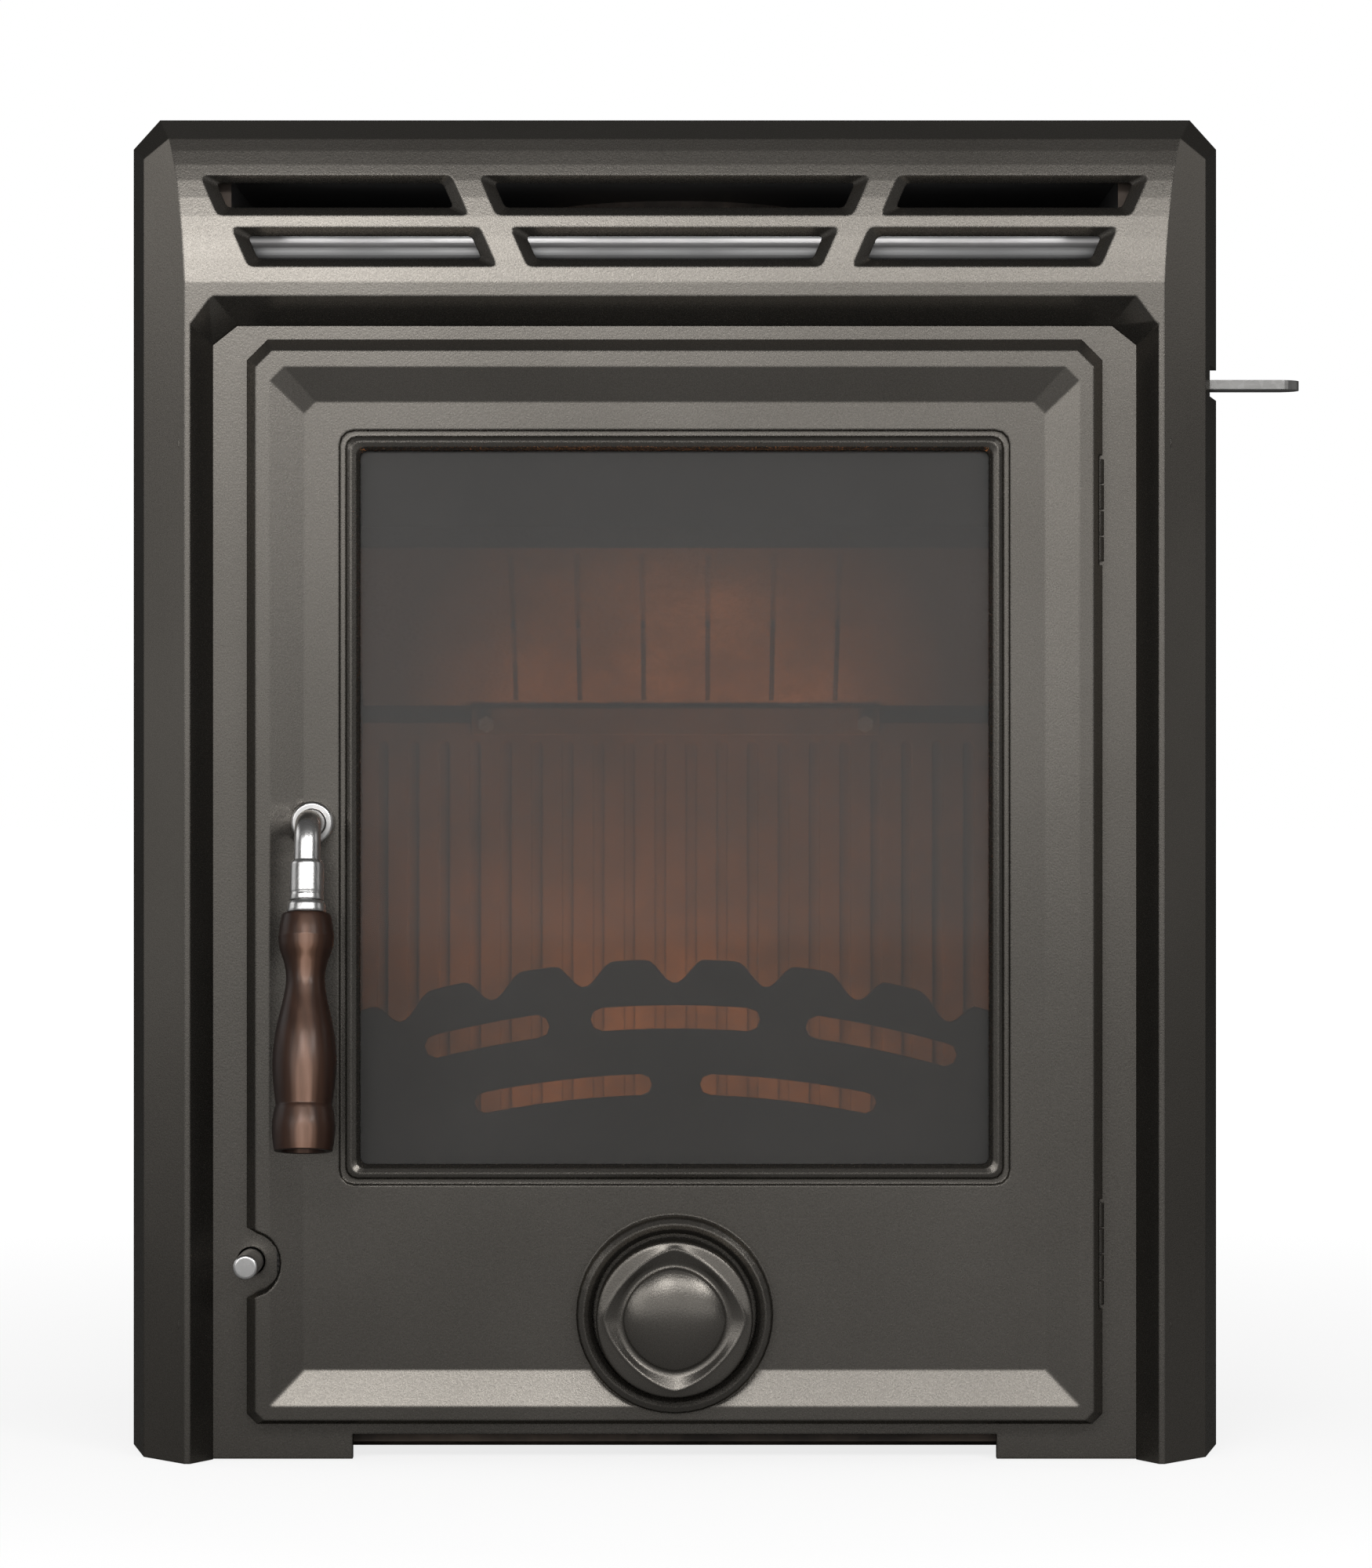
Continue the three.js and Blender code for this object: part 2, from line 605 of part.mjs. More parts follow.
function airwashLever() {
  const { front, back, left, right, z, thick } = LEVER;
  const round = (back - front) / 2;
  const shape = new THREE.Shape();
  shape.moveTo(left, front);
  shape.lineTo(right - round, front);
  shape.absarc(right - round, (front + back) / 2, round, -Math.PI / 2, Math.PI / 2, false);
  shape.lineTo(left, back);
  return planExtrude(shape, z, z + thick, 8);
}
place('airwash_lever', airwashLever(), sheetSteel);

// ---------------------------------------------------------------- fire chamber lining

for (const side of [-1, 1]) {
  const { x, half, front, back, low, high } = BRICK;
  const brick = block(side * x - half, side * x + half, front, back, low, high);
  place(side < 0 ? 'side_brick_left' : 'side_brick_right', brick, fireclay);
}

// The back liner: a slab with upright flutes that end in round tops.
function rearLiner() {
  const { half, front, back, low, high } = LINER;
  const { count, pitch, width, depth, top } = GROOVE;
  const flutes = Array.from({ length: count }, (_, i) => {
    const x = (i - (count - 1) / 2) * pitch;
    const flute = new THREE.Shape();
    flute.moveTo(x - width / 2, low + 6);
    flute.lineTo(x + width / 2, low + 6);
    flute.absarc(x, top - width / 2, width / 2, 0, Math.PI, false);
    return frontExtrude(flute, front - 1, front + depth, 3);
  });
  return combine(block(-half, half, front, back, low, high), { cut: flutes });
}
place('rear_liner', rearLiner(), innerIron);

// The baffle leans forward over the fire, with tile joints on its underside.
const BAFFLE = { half: 148.5, lowY: 164, lowZ: 331, highY: 78, highZ: 402, thick: 13, joint: 30.3 };
function bafflePlate() {
  const { half, lowY, lowZ, highY, highZ, thick, joint } = BAFFLE;
  const run = new THREE.Vector2(highY - lowY, highZ - lowZ).normalize();
  const up = new THREE.Vector2(-run.y, run.x).multiplyScalar(-thick);
  const slab = (x0, x1, margin, depth) => {
    const a = new THREE.Vector2(lowY, lowZ).addScaledVector(run, margin).addScaledVector(up, -0.1);
    const b = new THREE.Vector2(highY, highZ).addScaledVector(run, -margin).addScaledVector(up, -0.1);
    const lift = up.clone().multiplyScalar(depth);
    return sideExtrude(new THREE.Shape([a, b, b.clone().add(lift), a.clone().add(lift)]), x0, x1);
  };
  const grooves = [-2.5, -1.5, -0.5, 0.5, 1.5, 2.5].map((n) => {
    const x = n * joint;
    return slab(x - 1, x + 1, 4, 0.3);
  });
  return combine(slab(-half, half, 0, 1), { cut: grooves });
}
place('baffle_plate', bafflePlate(), fireclay);

// An angle bar across the back wall: the baffle rests on it, and the liner slides in under it.
function baffleLedge() {
  const { half, front, wall, back, low, shelf, high } = LEDGE;
  const shape = polygon([
    [front, low], [wall, low], [wall, shelf], [back, shelf], [back, high], [front, high],
  ]);
  const holes = [-1, 1].map((side) =>
    rod(2.4, front - 10, wall + 8, 10).translate(side * LEDGE_BOLT.x, 0, LEDGE_BOLT.z));
  return combine(sideExtrude(shape, -half, half), { cut: holes });
}
place('baffle_ledge', baffleLedge(), innerIron);
for (const side of [-1, 1]) {
  const head = new THREE.CylinderGeometry(4, 4, 3, 6).translate(0, LEDGE.front - GAP - 1.5, 0);
  const bolt = combine(head, { add: [rod(2, LEDGE.front - 1, LEDGE.wall - 1.5, 10)] });
  place(side < 0 ? 'ledge_bolt_left' : 'ledge_bolt_right', bolt, sheetSteel)
    .position.set(side * LEDGE_BOLT.x, 0, LEDGE_BOLT.z);
}

// ---------------------------------------------------------------- grate, log guard, ash pan

const GRATE = { slots: 6, pitch: 17, width: 9, half: 56, firstY: 32 };
function grateSlots(z0, z1) {
  return Array.from({ length: GRATE.slots }, (_, i) => {
    const y = GRATE.firstY + i * GRATE.pitch;
    return block(-GRATE.half, GRATE.half, y, y + GRATE.width, z0, z1);
  });
}

function grateFrame() {
  const { inner, floor } = FIREBOX;
  const plate = block(GAP - inner, inner - GAP, -44, 190, floor, floor + 6);
  const rails = [-1, 1].flatMap((side) => {
    const { half, toe, front, back, low, toeHigh } = RAIL;
    const x = side * RAIL.x;
    const toeX = x - side * (toe / 2);
    return [
      block(x - half, x + half, front, back, low, floor + 1),
      block(toeX - half - toe / 2, toeX + half + toe / 2, front, back, low, toeHigh),
    ];
  });
  return combine(plate, { add: rails, cut: grateSlots(floor - 1, floor + 7) });
}
place('grate_frame', grateFrame(), innerIron);

const guardTop = (x) => GUARD.crest - GUARD.bow * x * x;
function guardScallop(x) {
  const nearest = Math.round(x / GUARD_NOTCH.pitch) * GUARD_NOTCH.pitch;
  const away = Math.min(1, Math.abs(x - nearest) / GUARD_NOTCH.half);
  return (GUARD_NOTCH.depth * (1 + Math.cos(Math.PI * away))) / 2;
}

// A slot that follows the guard's bowed top at a given drop, with round ends.
function guardSlot(x0, x1, drop, high) {
  const radius = high / 2;
  const steps = 6;
  const middle = (x) => guardTop(x) - drop - radius;
  const edge = (side) => Array.from({ length: steps + 1 }, (_, i) => {
    const x = THREE.MathUtils.lerp(x0 + radius, x1 - radius, i / steps);
    return new THREE.Vector2(x, middle(x) + side * radius);
  });
  const roundEnd = (x, startDegrees) => [45, 90, 135].map((degrees) => {
    const angle = THREE.MathUtils.degToRad(startDegrees + degrees);
    return new THREE.Vector2(x + radius * Math.cos(angle), middle(x) + radius * Math.sin(angle));
  });
  return new THREE.Path().setFromPoints([
    ...edge(-1), ...roundEnd(x1 - radius, -90), ...edge(1).reverse(), ...roundEnd(x0 + radius, 90),
  ]);
}

// Left end, right end, drop below the top edge, and height of each slot.
const GUARD_SLOTS = [
  [-37, 37.5, 20, 10.4],
  [-110, -55, 20, 10.4],
  [57.5, 124, 20, 10.4],
  [-88, -10, 50, 9.4],
  [11, 88.5, 50, 9.4],
];
function logGuard() {
  const { half, front, thick, low } = GUARD;
  const step = 2.5;
  const top = [];
  for (let x = half; x >= -half; x -= step) top.push([x, guardTop(x) - guardScallop(x)]);
  const shape = polygon([[-half, low], [half, low], ...top]);
  for (const slot of GUARD_SLOTS) shape.holes.push(guardSlot(...slot));
  return frontExtrude(shape, front, front + thick);
}
place('log_guard', logGuard(), innerIron);

function ashPan() {
  const low = BASE.high + GAP;
  const tray = { half: 118, low: -34, high: 150 };
  const ring = (by, height) =>
    frameRing({ ...grown(tray, by), y: -height, top: 8 + by / 2, round: true });
  const outer = [ring(-6, low), ring(0, 62), ring(4, 64)];
  const inner = [ring(4, 65.5), ring(-1.6, 64), ring(-7.6, low + 1.6)];
  return loft([...outer, ...inner]).rotateX(-Math.PI / 2);
}
place('ash_pan', ashPan(), sheetSteel);

// ---------------------------------------------------------------- riddling gear

function riddlingRod() {
  const { radius, front, back } = RIDDLE;
  return turned([[0, front], [radius - 1, front], [radius, front + 1], [radius, back], [0, back]], 24);
}
place('riddling_rod', riddlingRod(), brightSteel).position.set(RIDDLE.x, 0, RIDDLE.z);

function riddlingLink() {
  const { left, right, low, high, front, back } = LINK;
  const shape = polygon([
    [left, low], [right, low], [right, LINK_TOE.high], [LINK_TOE.left, LINK_TOE.high],
    [LINK_TOE.left, high], [left, high],
  ]);
  return frontExtrude(shape, front, back);
}
place('riddling_link', riddlingLink(), innerIron);

function riddlingGrate() {
  return combine(block(-73, 73, 18, 138, 95, 101), { cut: grateSlots(94, 102) });
}
place('riddling_grate', riddlingGrate(), innerIron);

// ---------------------------------------------------------------- door

const door = new THREE.Group();
stove.add(door);

// A ring of the rope channel: its cut corners grow so that the channel keeps its width.
function ropeRing(half, y) {
  const margin = DOOR.half - half;
  const top = 5 + (2 - Math.SQRT2) * (half - ROPE.inner);
  return frameRing({ half, low: DOOR.low + margin, high: DOOR.high - margin, y, top });
}

// The door's section, carried round its frame: edge, face, bevel, panel, bead, rebate and then
// the rope channel.
function doorFrame() {
  const { faceY, panelY, backY } = DOOR;
  const rebate = grown(GLAZING, GLASS.grow + 0.7);
  return loft([
    frameRing({ ...grown(DOOR, -2.7), y: backY, top: 8, bottom: 4 }),
    frameRing({ ...DOOR, y: backY - 3.2, top: 9, bottom: 4.4 }),
    frameRing({ ...DOOR, y: faceY + 4.5, top: 9, bottom: 4.4 }),
    frameRing({ ...FACE, y: faceY, top: 7, bottom: 3.6 }),
    frameRing({ ...BEVEL_OUT, y: faceY, top: 6, bottom: 0.6 }),
    frameRing({ ...BEVEL_IN, y: panelY, top: 5, bottom: 0.5 }),
    frameRing({ ...grown(GLAZING, 7.5), y: panelY, top: 6.5, round: true }),
    frameRing({ ...grown(GLAZING, 6.9), y: panelY + 1.8, top: 6, round: true }),
    frameRing({ ...grown(GLAZING, 4.8), y: panelY + 1.8, top: 5, round: true }),
    frameRing({ ...grown(GLAZING, 4), y: panelY - 1, top: 4.6, round: true }),
    frameRing({ ...grown(GLAZING, 2.2), y: panelY - 1.9, top: 4, round: true }),
    frameRing({ ...GLAZING, y: panelY - 0.7, top: 3.5, round: true }),
    frameRing({ ...grown(GLAZING, -1.6), y: backY - 4.7, top: 3, round: true }),
    frameRing({ ...rebate, y: backY - 4.7, top: 3.5, round: true }),
    frameRing({ ...rebate, y: backY, top: 3.5, round: true }),
    ropeRing(ROPE.inner, backY),
    ropeRing(ROPE.inner, ROPE.floorY),
    ropeRing(ROPE.outer, ROPE.floorY),
    ropeRing(ROPE.outer, backY),
  ], true);
}

// The half-round notch in the door's edge that clears the riddling rod.
function rodNotch() {
  const { x, z, notch } = RIDDLE;
  const edge = x - 12;
  const ring = (y, radius, flare) => {
    const points = [[edge, z - radius - flare], [-DOOR.half + 0.6, z - radius - flare]];
    for (let angle = -75; angle <= 75; angle += 15) {
      const turn = THREE.MathUtils.degToRad(angle);
      points.push([x + radius * Math.cos(turn), z + radius * Math.sin(turn)]);
    }
    points.push([-DOOR.half + 0.6, z + radius + flare], [edge, z + radius + flare]);
    return points.map(([px, pz]) => new THREE.Vector3(px, y, pz));
  };
  return loft([
    ring(DOOR.faceY - 1, notch + 0.4, 2.4),
    ring(DOOR.faceY + 4, notch - 1.6, 2),
    ring(DOOR.backY + 2, notch - 1.6, 2),
  ]);
}

const CLIPS = [
  { name: 'left', x: -153, z: 360 },
  { name: 'right', x: 153, z: 360 },
  { name: 'lower_left', x: -153, z: 190 },
  { name: 'lower_right', x: 153, z: 190 },
];

// The seat of the air wheel: a rounded ring that stands out round a flat-bottomed well.
function wheelSeat() {
  const { ring, ringY, well, wellY, z } = WHEEL;
  const root = ROPE.floorY - 0.6;
  return turned([
    [0, root], [ring, root], [ring, ringY + 3.5], [ring - 0.9, ringY + 1.3], [ring - 3.1, ringY],
    [ring - 5.2, ringY + 0.6], [well, ringY + 2.4], [well, wellY], [0, wellY],
  ], 44).translate(0, 0, z);
}

const AIR_HOLES = { count: 4, radius: 4.5, circle: 24 };
function doorCasting() {
  const { panelY, backY } = DOOR;
  const handleBoss = rod(8.6, backY, panelY - 2, 24).translate(HANDLE.x, 0, HANDLE.z);
  const handleBore = rod(5.05, -70, -45, 16).translate(HANDLE.x, 0, HANDLE.z);
  const spindleBore = rod(SPINDLE.radius + GAP, WHEEL.wellY - 5, -53.5, 16).translate(0, 0, WHEEL.z);
  const airHoles = Array.from({ length: AIR_HOLES.count }, (_, i) => {
    const angle = (Math.PI * 2 * (i + 0.5)) / AIR_HOLES.count;
    const x = AIR_HOLES.circle * Math.cos(angle);
    const z = WHEEL.z + AIR_HOLES.circle * Math.sin(angle);
    return rod(AIR_HOLES.radius, -72, -48, 12).translate(x, 0, z);
  });
  const reach = 2 * HINGE.pitch + 1.4;
  const pockets = Object.values(HINGE_CENTRES).map((centre) =>
    block(HINGE.x - 4.5, DOOR.half + 5, HINGE.y - 3.5, backY + 5, centre - reach, centre + reach));
  const web = (low, high) => block(HINGE.x - 6, HINGE.x, HINGE.y - 1.2, HINGE.y + 1.2, low, high);
  const lugs = Object.values(HINGE_CENTRES).flatMap((centre) => knuckles(centre, [1, 3], web));
  const screwHoles = CLIPS.map(({ x, z }) => rod(2.9, -55.4, backY + 1, 10).translate(x, 0, z));
  const slab = combine(doorFrame(), {
    add: [wheelSeat(), handleBoss],
    cut: [...pockets, rodNotch()],
  });
  return combine(slab, {
    add: lugs,
    cut: [handleBore, spindleBore, ...airHoles, ...screwHoles, ...pinBores()],
  });
}

place('door_casting', doorCasting(), castIron, door);

function glassPane() {
  const pane = grown(GLAZING, GLASS.grow);
  const ring = (y) => frameRing({ ...pane, y, top: 3, round: true });
  return loft([ring(GLASS.front), ring(GLASS.front + GLASS.thick)]);
}
place('door_glass', glassPane(), ceramicGlass, door);

function glassGasket() {
  const ring = (by, y) => frameRing({ ...grown(GLAZING, by), y, top: 3, round: true });
  const front = DOOR.backY - 4.7 + GAP;
  const back = GLASS.front - GAP;
  const section = [[GLASS.grow, front], [GLASS.grow, back], [-1.2, back], [-1.2, front]];
  return loft(section.map(([by, y]) => ring(by, y)), true);
}
place('glass_gasket', glassGasket(), ropeFibre, door);

// Each clip stands on the door and steps over the edge of the glass.
const CLIP = { outer: 158, step: 146, inner: 138, sheet: 1.5, half: 9, screw: 153 };
function glassClip(side) {
  const foot = DOOR.backY + GAP;
  const glass = GLASS.front + GLASS.thick + GAP;
  const { outer, step, inner, sheet, half, screw } = CLIP;
  const outline = [
    [outer, foot], [step, foot], [step, glass], [inner, glass], [inner, glass + sheet],
    [step + sheet, glass + sheet], [step + sheet, foot + sheet], [outer, foot + sheet],
  ];
  const strap = planExtrude(polygon(outline.map(([x, y]) => [side * x, y])), -half, half);
  return combine(strap, { cut: [rod(2.9, -60, -40, 10).translate(side * screw, 0, 0)] });
}

function clipScrew() {
  const seat = DOOR.backY + GAP + CLIP.sheet + GAP;
  const shank = [[0, seat - 5], [2.5, seat - 5], [2.5, seat]];
  const head = [[4.6, seat], [4.2, seat + 1.8], [2.6, seat + 2.6], [0, seat + 2.6]];
  return turned([...shank, ...head], 12);
}
for (const { name, x, z } of CLIPS) {
  place(`glass_clip_${name}`, glassClip(Math.sign(x)), sheetSteel, door).position.set(0, 0, z);
  place(`clip_screw_${name}`, clipScrew(), brightSteel, door).position.set(x, 0, z);
}

function ropeSeal() {
  const middle = (ROPE.inner + ROPE.outer) / 2;
  const ring = (by, y) => ropeRing(middle + by, y);
  const front = ROPE.floorY + GAP;
  const back = DOOR.backY;
  return loft([
    ring(3.6, front + 1.2), ring(3.6, back - 1.2), ring(2.2, back), ring(-2.2, back),
    ring(-3.6, back - 1.2), ring(-3.6, front + 1.2), ring(-2.2, front), ring(2.2, front),
  ], true);
}
place('door_rope_seal', ropeSeal(), ropeFibre, door);

// ---------------------------------------------------------------- spin wheel

// Distance from the centre to a convex-sided diamond: a power curve between diamond and circle.
const diamond = (half, angle, power) =>
  half / (Math.abs(Math.cos(angle)) ** power + Math.abs(Math.sin(angle)) ** power) ** (1 / power);

// The wheel blends from a round rim to a diamond lip, then dishes down to a domed centre.
function spinWheel() {
  const { radius, lipY } = WHEEL;
  const segments = 40;
  const backY = WHEEL.wellY - 2.1;
  const circle = (r) => () => r;
  const lip = (scale) => (angle) => diamond(LIP.half, angle, LIP.power) * scale;
  const dome = (scale) => (angle) => diamond(DOME.half, angle, DOME.power) * scale;
  const section = [
    [circle(SPINDLE.bore), SPINDLE.front - 1.5],
    [circle(SPINDLE.bore), backY],
    [circle(radius - 1), backY],
    [circle(radius), backY - 1],
    [circle(radius), lipY + 2.6],
    [circle(radius - 0.4), lipY + 1.6],
    [circle(radius - 1.3), lipY + 1],
    [lip(1), lipY],
    [lip(0.985), lipY + 0.2],
    [dome(1.02), DOME.baseY],
    [dome(1), DOME.baseY - 0.4],
  ];
  for (const degrees of [14, 30, 46, 62, 76]) {
    const angle = THREE.MathUtils.degToRad(degrees);
    section.push([dome(Math.cos(angle)), DOME.baseY - DOME.height * Math.sin(angle)]);
  }
  const rings = section.map(([reach, y]) => Array.from({ length: segments }, (_, i) => {
    const angle = (2 * Math.PI * i) / segments;
    return new THREE.Vector3(reach(angle) * Math.cos(angle), y, reach(angle) * Math.sin(angle));
  }));
  return loft(rings);
}

const wheelCarrier = new THREE.Group();
wheelCarrier.position.set(0, 0, WHEEL.z);
door.add(wheelCarrier);
place('wheel_spindle', rod(SPINDLE.radius, SPINDLE.front, -53.8, 20), brightSteel, wheelCarrier);
const thrustWasher = tube(20, 5.8, WHEEL.wellY - 1.8, WHEEL.wellY - GAP, 32);
place('thrust_washer', thrustWasher, brightSteel, wheelCarrier);
place('spin_wheel', spinWheel(), castIron, wheelCarrier);

// ---------------------------------------------------------------- door handle

const handle = new THREE.Group();
handle.position.set(HANDLE.x, 0, HANDLE.z);
door.add(handle);

const lean = THREE.MathUtils.degToRad(HANDLE.lean);
const down = new THREE.Vector3(0, -Math.sin(lean), -Math.cos(lean));
const elbow = new THREE.Vector3(0, HANDLE.reach, 0);

function handleShaft() {
  const start = elbow.clone().add(new THREE.Vector3(0, HANDLE.bend, 0));
  const end = elbow.clone().addScaledVector(down, HANDLE.bend);
  const path = new THREE.CurvePath();
  path.add(new THREE.LineCurve3(new THREE.Vector3(0, -66.6, 0), start));
  path.add(new THREE.QuadraticBezierCurve3(start, elbow, end));
  path.add(new THREE.LineCurve3(end, elbow.clone().addScaledVector(down, GRIP_FROM)));
  const section = new THREE.Shape();
  section.absarc(0, 0, HANDLE.shaft, 0, 2 * Math.PI, false);
  const bar = new THREE.ExtrudeGeometry(section, {
    extrudePath: path, steps: 20, bevelEnabled: false, curveSegments: 7,
  });
  const spindle = rod(4.7, -67.5, -37.5, 16);
  return combine(bar, { add: [spindle] });
}

// Pieces that sit on the leaning part of the shaft are drawn along -Y and then turned down.
function onShaft(geometry, from) {
  return geometry.rotateX(Math.PI / 2 - lean).translate(elbow.x, elbow.y, elbow.z)
    .translate(0, down.y * from, down.z * from);
}

function shaftRing(radius, from, long) {
  const bore = HANDLE.shaft + GAP;
  const profile = [
    [bore, 0], [radius - 0.8, 0], [radius, -0.8],
    [radius, 0.8 - long], [radius - 0.8, -long], [bore, -long], [bore, 0],
  ];
  return onShaft(turned(profile, 20), from);
}

// The turned grip: shoulder, neck, long swell, bead and a hollow end.
const GRIP_PROFILE = [
  [9.6, 0], [10.4, 0.8], [11.3, 5], [11.9, 10], [11.2, 15], [9.2, 21], [8.2, 27.3], [8.9, 34],
  [10.9, 43], [12.7, 52], [13.55, 62.6], [13.1, 72], [11.9, 81.4], [12.6, 84], [13.4, 90.5],
  [12.9, 97], [12.3, GRIP_LENGTH],
];
const GRIP_END = { radius: 9.4, depth: 5, bore: 3 };

function woodenGrip() {
  const outer = GRIP_PROFILE.map(([r, along]) => [r, -along]);
  const { radius, depth, bore } = GRIP_END;
  const floor = depth - GRIP_LENGTH;
  const hollow = [[radius, -GRIP_LENGTH], [radius - 0.6, floor], [bore, floor]];
  return onShaft(turned([[bore, 0], ...outer, ...hollow, [bore, 0]], 22), GRIP_FROM + GAP);
}

function gripScrew() {
  const seat = GRIP_END.depth - 0.4 - GRIP_LENGTH;
  const shank = [[0, -1], [2.6, -1], [2.6, seat]];
  const head = [[6.4, seat], [6, seat - 2.2], [3, seat - 3], [0, seat - 3]];
  return onShaft(turned([...shank, ...head], 16), GRIP_FROM + GAP);
}

place('handle_shaft', handleShaft(), brightSteel, handle);
place('handle_collar', shaftRing(COLLAR.radius, COLLAR.from, COLLAR.long - GAP), brightSteel, handle);
const ferrule = shaftRing(FERRULE.radius, COLLAR.from + COLLAR.long, FERRULE.long);
place('grip_ferrule', ferrule, brightSteel, handle);
place('wooden_grip', woodenGrip(), varnishedWood, handle);
place('grip_screw', gripScrew(), sheetSteel, handle);

// The rosette stays on the door; the shaft turns in it.
function handleRosette() {
  const bore = HANDLE.shaft + GAP;
  const back = -61;
  const front = -66.3;
  return turned([
    [bore, back], [9.3, back], [9.3, front + 0.9], [8.5, front], [bore, front], [bore, back],
  ], 24);
}
place('handle_rosette', handleRosette(), brightSteel, door).position.set(HANDLE.x, 0, HANDLE.z);

// A snail cam on the spindle's inner end, held by a nut.
function latchCam() {
  const shape = new THREE.Shape();
  for (let degrees = 0; degrees < 360; degrees += 15) {
    const angle = THREE.MathUtils.degToRad(degrees);
    const radius = degrees <= 180 ? 12 - 4.8 * (degrees / 180) : 7.2 - 0.4 * Math.sin(angle);
    const point = [radius * Math.cos(angle), radius * Math.sin(angle)];
    if (degrees === 0) shape.moveTo(...point);
    else shape.lineTo(...point);
  }
  return combine(frontExtrude(shape, -49.4, -43.9), { cut: [rod(5, -52, -42, 16)] });
}
place('latch_cam', latchCam(), sheetSteel, handle);

function latchNut() {
  const hexagon = new THREE.CylinderGeometry(6.6, 6.6, 5, 6).translate(0, -41.1, 0);
  return combine(hexagon, { cut: [rod(5, -46, -37, 16)] });
}
place('latch_nut', latchNut(), brightSteel, handle);

export default stove;
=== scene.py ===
# %% [markdown]
# # The looks of a cast-iron inset stove
#
# The working model of the stove, with its door, wheel, handle, rod and lever, is already made
# and measured. This notebook gives it its looks: grainy heat-proof paint on cast iron, plated
# steel, varnished wood, smoke-tinted glass. Where a turned or bent piece needs a finer surface
# than the working model has, numpy works that surface out here.

# %% The frame and its size
import json
import math

import bpy
import numpy as np
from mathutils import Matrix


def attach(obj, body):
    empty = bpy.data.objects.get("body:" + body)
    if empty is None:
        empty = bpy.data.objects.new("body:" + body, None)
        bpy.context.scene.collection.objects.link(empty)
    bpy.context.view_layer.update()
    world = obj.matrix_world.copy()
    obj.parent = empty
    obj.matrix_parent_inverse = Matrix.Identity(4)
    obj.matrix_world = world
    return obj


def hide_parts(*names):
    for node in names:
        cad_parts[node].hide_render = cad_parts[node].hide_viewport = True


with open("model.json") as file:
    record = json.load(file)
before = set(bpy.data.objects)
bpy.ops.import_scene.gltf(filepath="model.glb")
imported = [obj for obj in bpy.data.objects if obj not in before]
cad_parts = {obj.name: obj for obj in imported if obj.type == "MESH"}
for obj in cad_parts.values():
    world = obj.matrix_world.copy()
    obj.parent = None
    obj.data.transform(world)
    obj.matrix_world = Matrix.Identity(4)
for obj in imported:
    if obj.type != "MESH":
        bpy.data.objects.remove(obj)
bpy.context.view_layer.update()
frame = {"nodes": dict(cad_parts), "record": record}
nodes = frame["nodes"]
MM = 0.001
print(len(nodes), "pieces in the frame")

# %% [markdown]
# ## The camera
#
# The photograph looks straight at the door from a little over two metres, level with the middle
# of the glass. A long lens at that distance shows the sloping sides just as the picture does.

# %% Camera
PHOTO_HEIGHT_PX = 2000
MM_PER_PX_AT_WALL = 0.34765
CAMERA_AT = (4.92 * MM, -2246 * MM, 292.7 * MM)
SENSOR = 36


def add_camera():
    """A level camera: lens / sensor = distance / height of the picture at the wall plane."""
    data = bpy.data.cameras.new("photo_camera")
    data.sensor_width = SENSOR
    picture_height = PHOTO_HEIGHT_PX * MM_PER_PX_AT_WALL * MM
    data.lens = SENSOR * -CAMERA_AT[1] / picture_height
    camera = bpy.data.objects.new("photo_camera", data)
    camera.location = CAMERA_AT
    camera.rotation_euler = (math.radians(90), 0, 0)
    bpy.context.scene.collection.objects.link(camera)
    bpy.context.scene.camera = camera
    print("lens", round(data.lens, 1), "mm")


add_camera()

# %% [markdown]
# ## Building material node trees
#
# Every finish below is a small graph of nodes. A few helpers keep the graphs readable: `add`
# makes a node and plugs its inputs, `group` opens a reusable effect with named sockets, `effect`
# places one in a material, and `finish` opens a material around one Principled shader.

# %% Helpers for node trees


def plug(tree, node, **inputs):
    """Sets a node's inputs, each to a value or to another node's output. An underscore in a name
    stands for a space, and a name such as _6 is the input with that index."""
    for name, value in inputs.items():
        numbered = name[1:].isdigit()
        socket = node.inputs[int(name[1:]) if numbered else name.replace("_", " ")]
        if isinstance(value, bpy.types.NodeSocket):
            tree.links.new(value, socket)
        else:
            socket.default_value = value
    return node


def add(tree, kind, settings=None, **inputs):
    """A new node of one kind, with its settings and its inputs."""
    node = tree.nodes.new(kind)
    for name, value in (settings or {}).items():
        setattr(node, name, value)
    return plug(tree, node, **inputs)


def math_node(tree, operation, a, b=0.0, clamp=False):
    """One arithmetic step; returns its result."""
    settings = {"operation": operation, "use_clamp": clamp}
    return add(tree, "ShaderNodeMath", settings, _0=a, _1=b).outputs[0]


def vector_node(tree, operation, a, b=(0.0, 0.0, 0.0)):
    """One step of vector arithmetic; returns the node, which has a vector and a value output."""
    return add(tree, "ShaderNodeVectorMath", {"operation": operation}, _0=a, _1=b)


def weighted(tree, a, share_a, b, share_b):
    """a * share_a + b * share_b."""
    return math_node(tree, "ADD", math_node(tree, "MULTIPLY", a, share_a),
                     math_node(tree, "MULTIPLY", b, share_b))


def offset(tree, value, scale, start):
    """value * scale + start."""
    return math_node(tree, "ADD", math_node(tree, "MULTIPLY", value, scale), start)


def mix_colour(tree, factor, a, b, blend="MIX"):
    """A blend of two colours, which the Mix node keeps in inputs 6 and 7 and in output 2."""
    settings = {"data_type": "RGBA", "blend_type": blend}
    return add(tree, "ShaderNodeMix", settings, _0=factor, _6=a, _7=b).outputs[2]


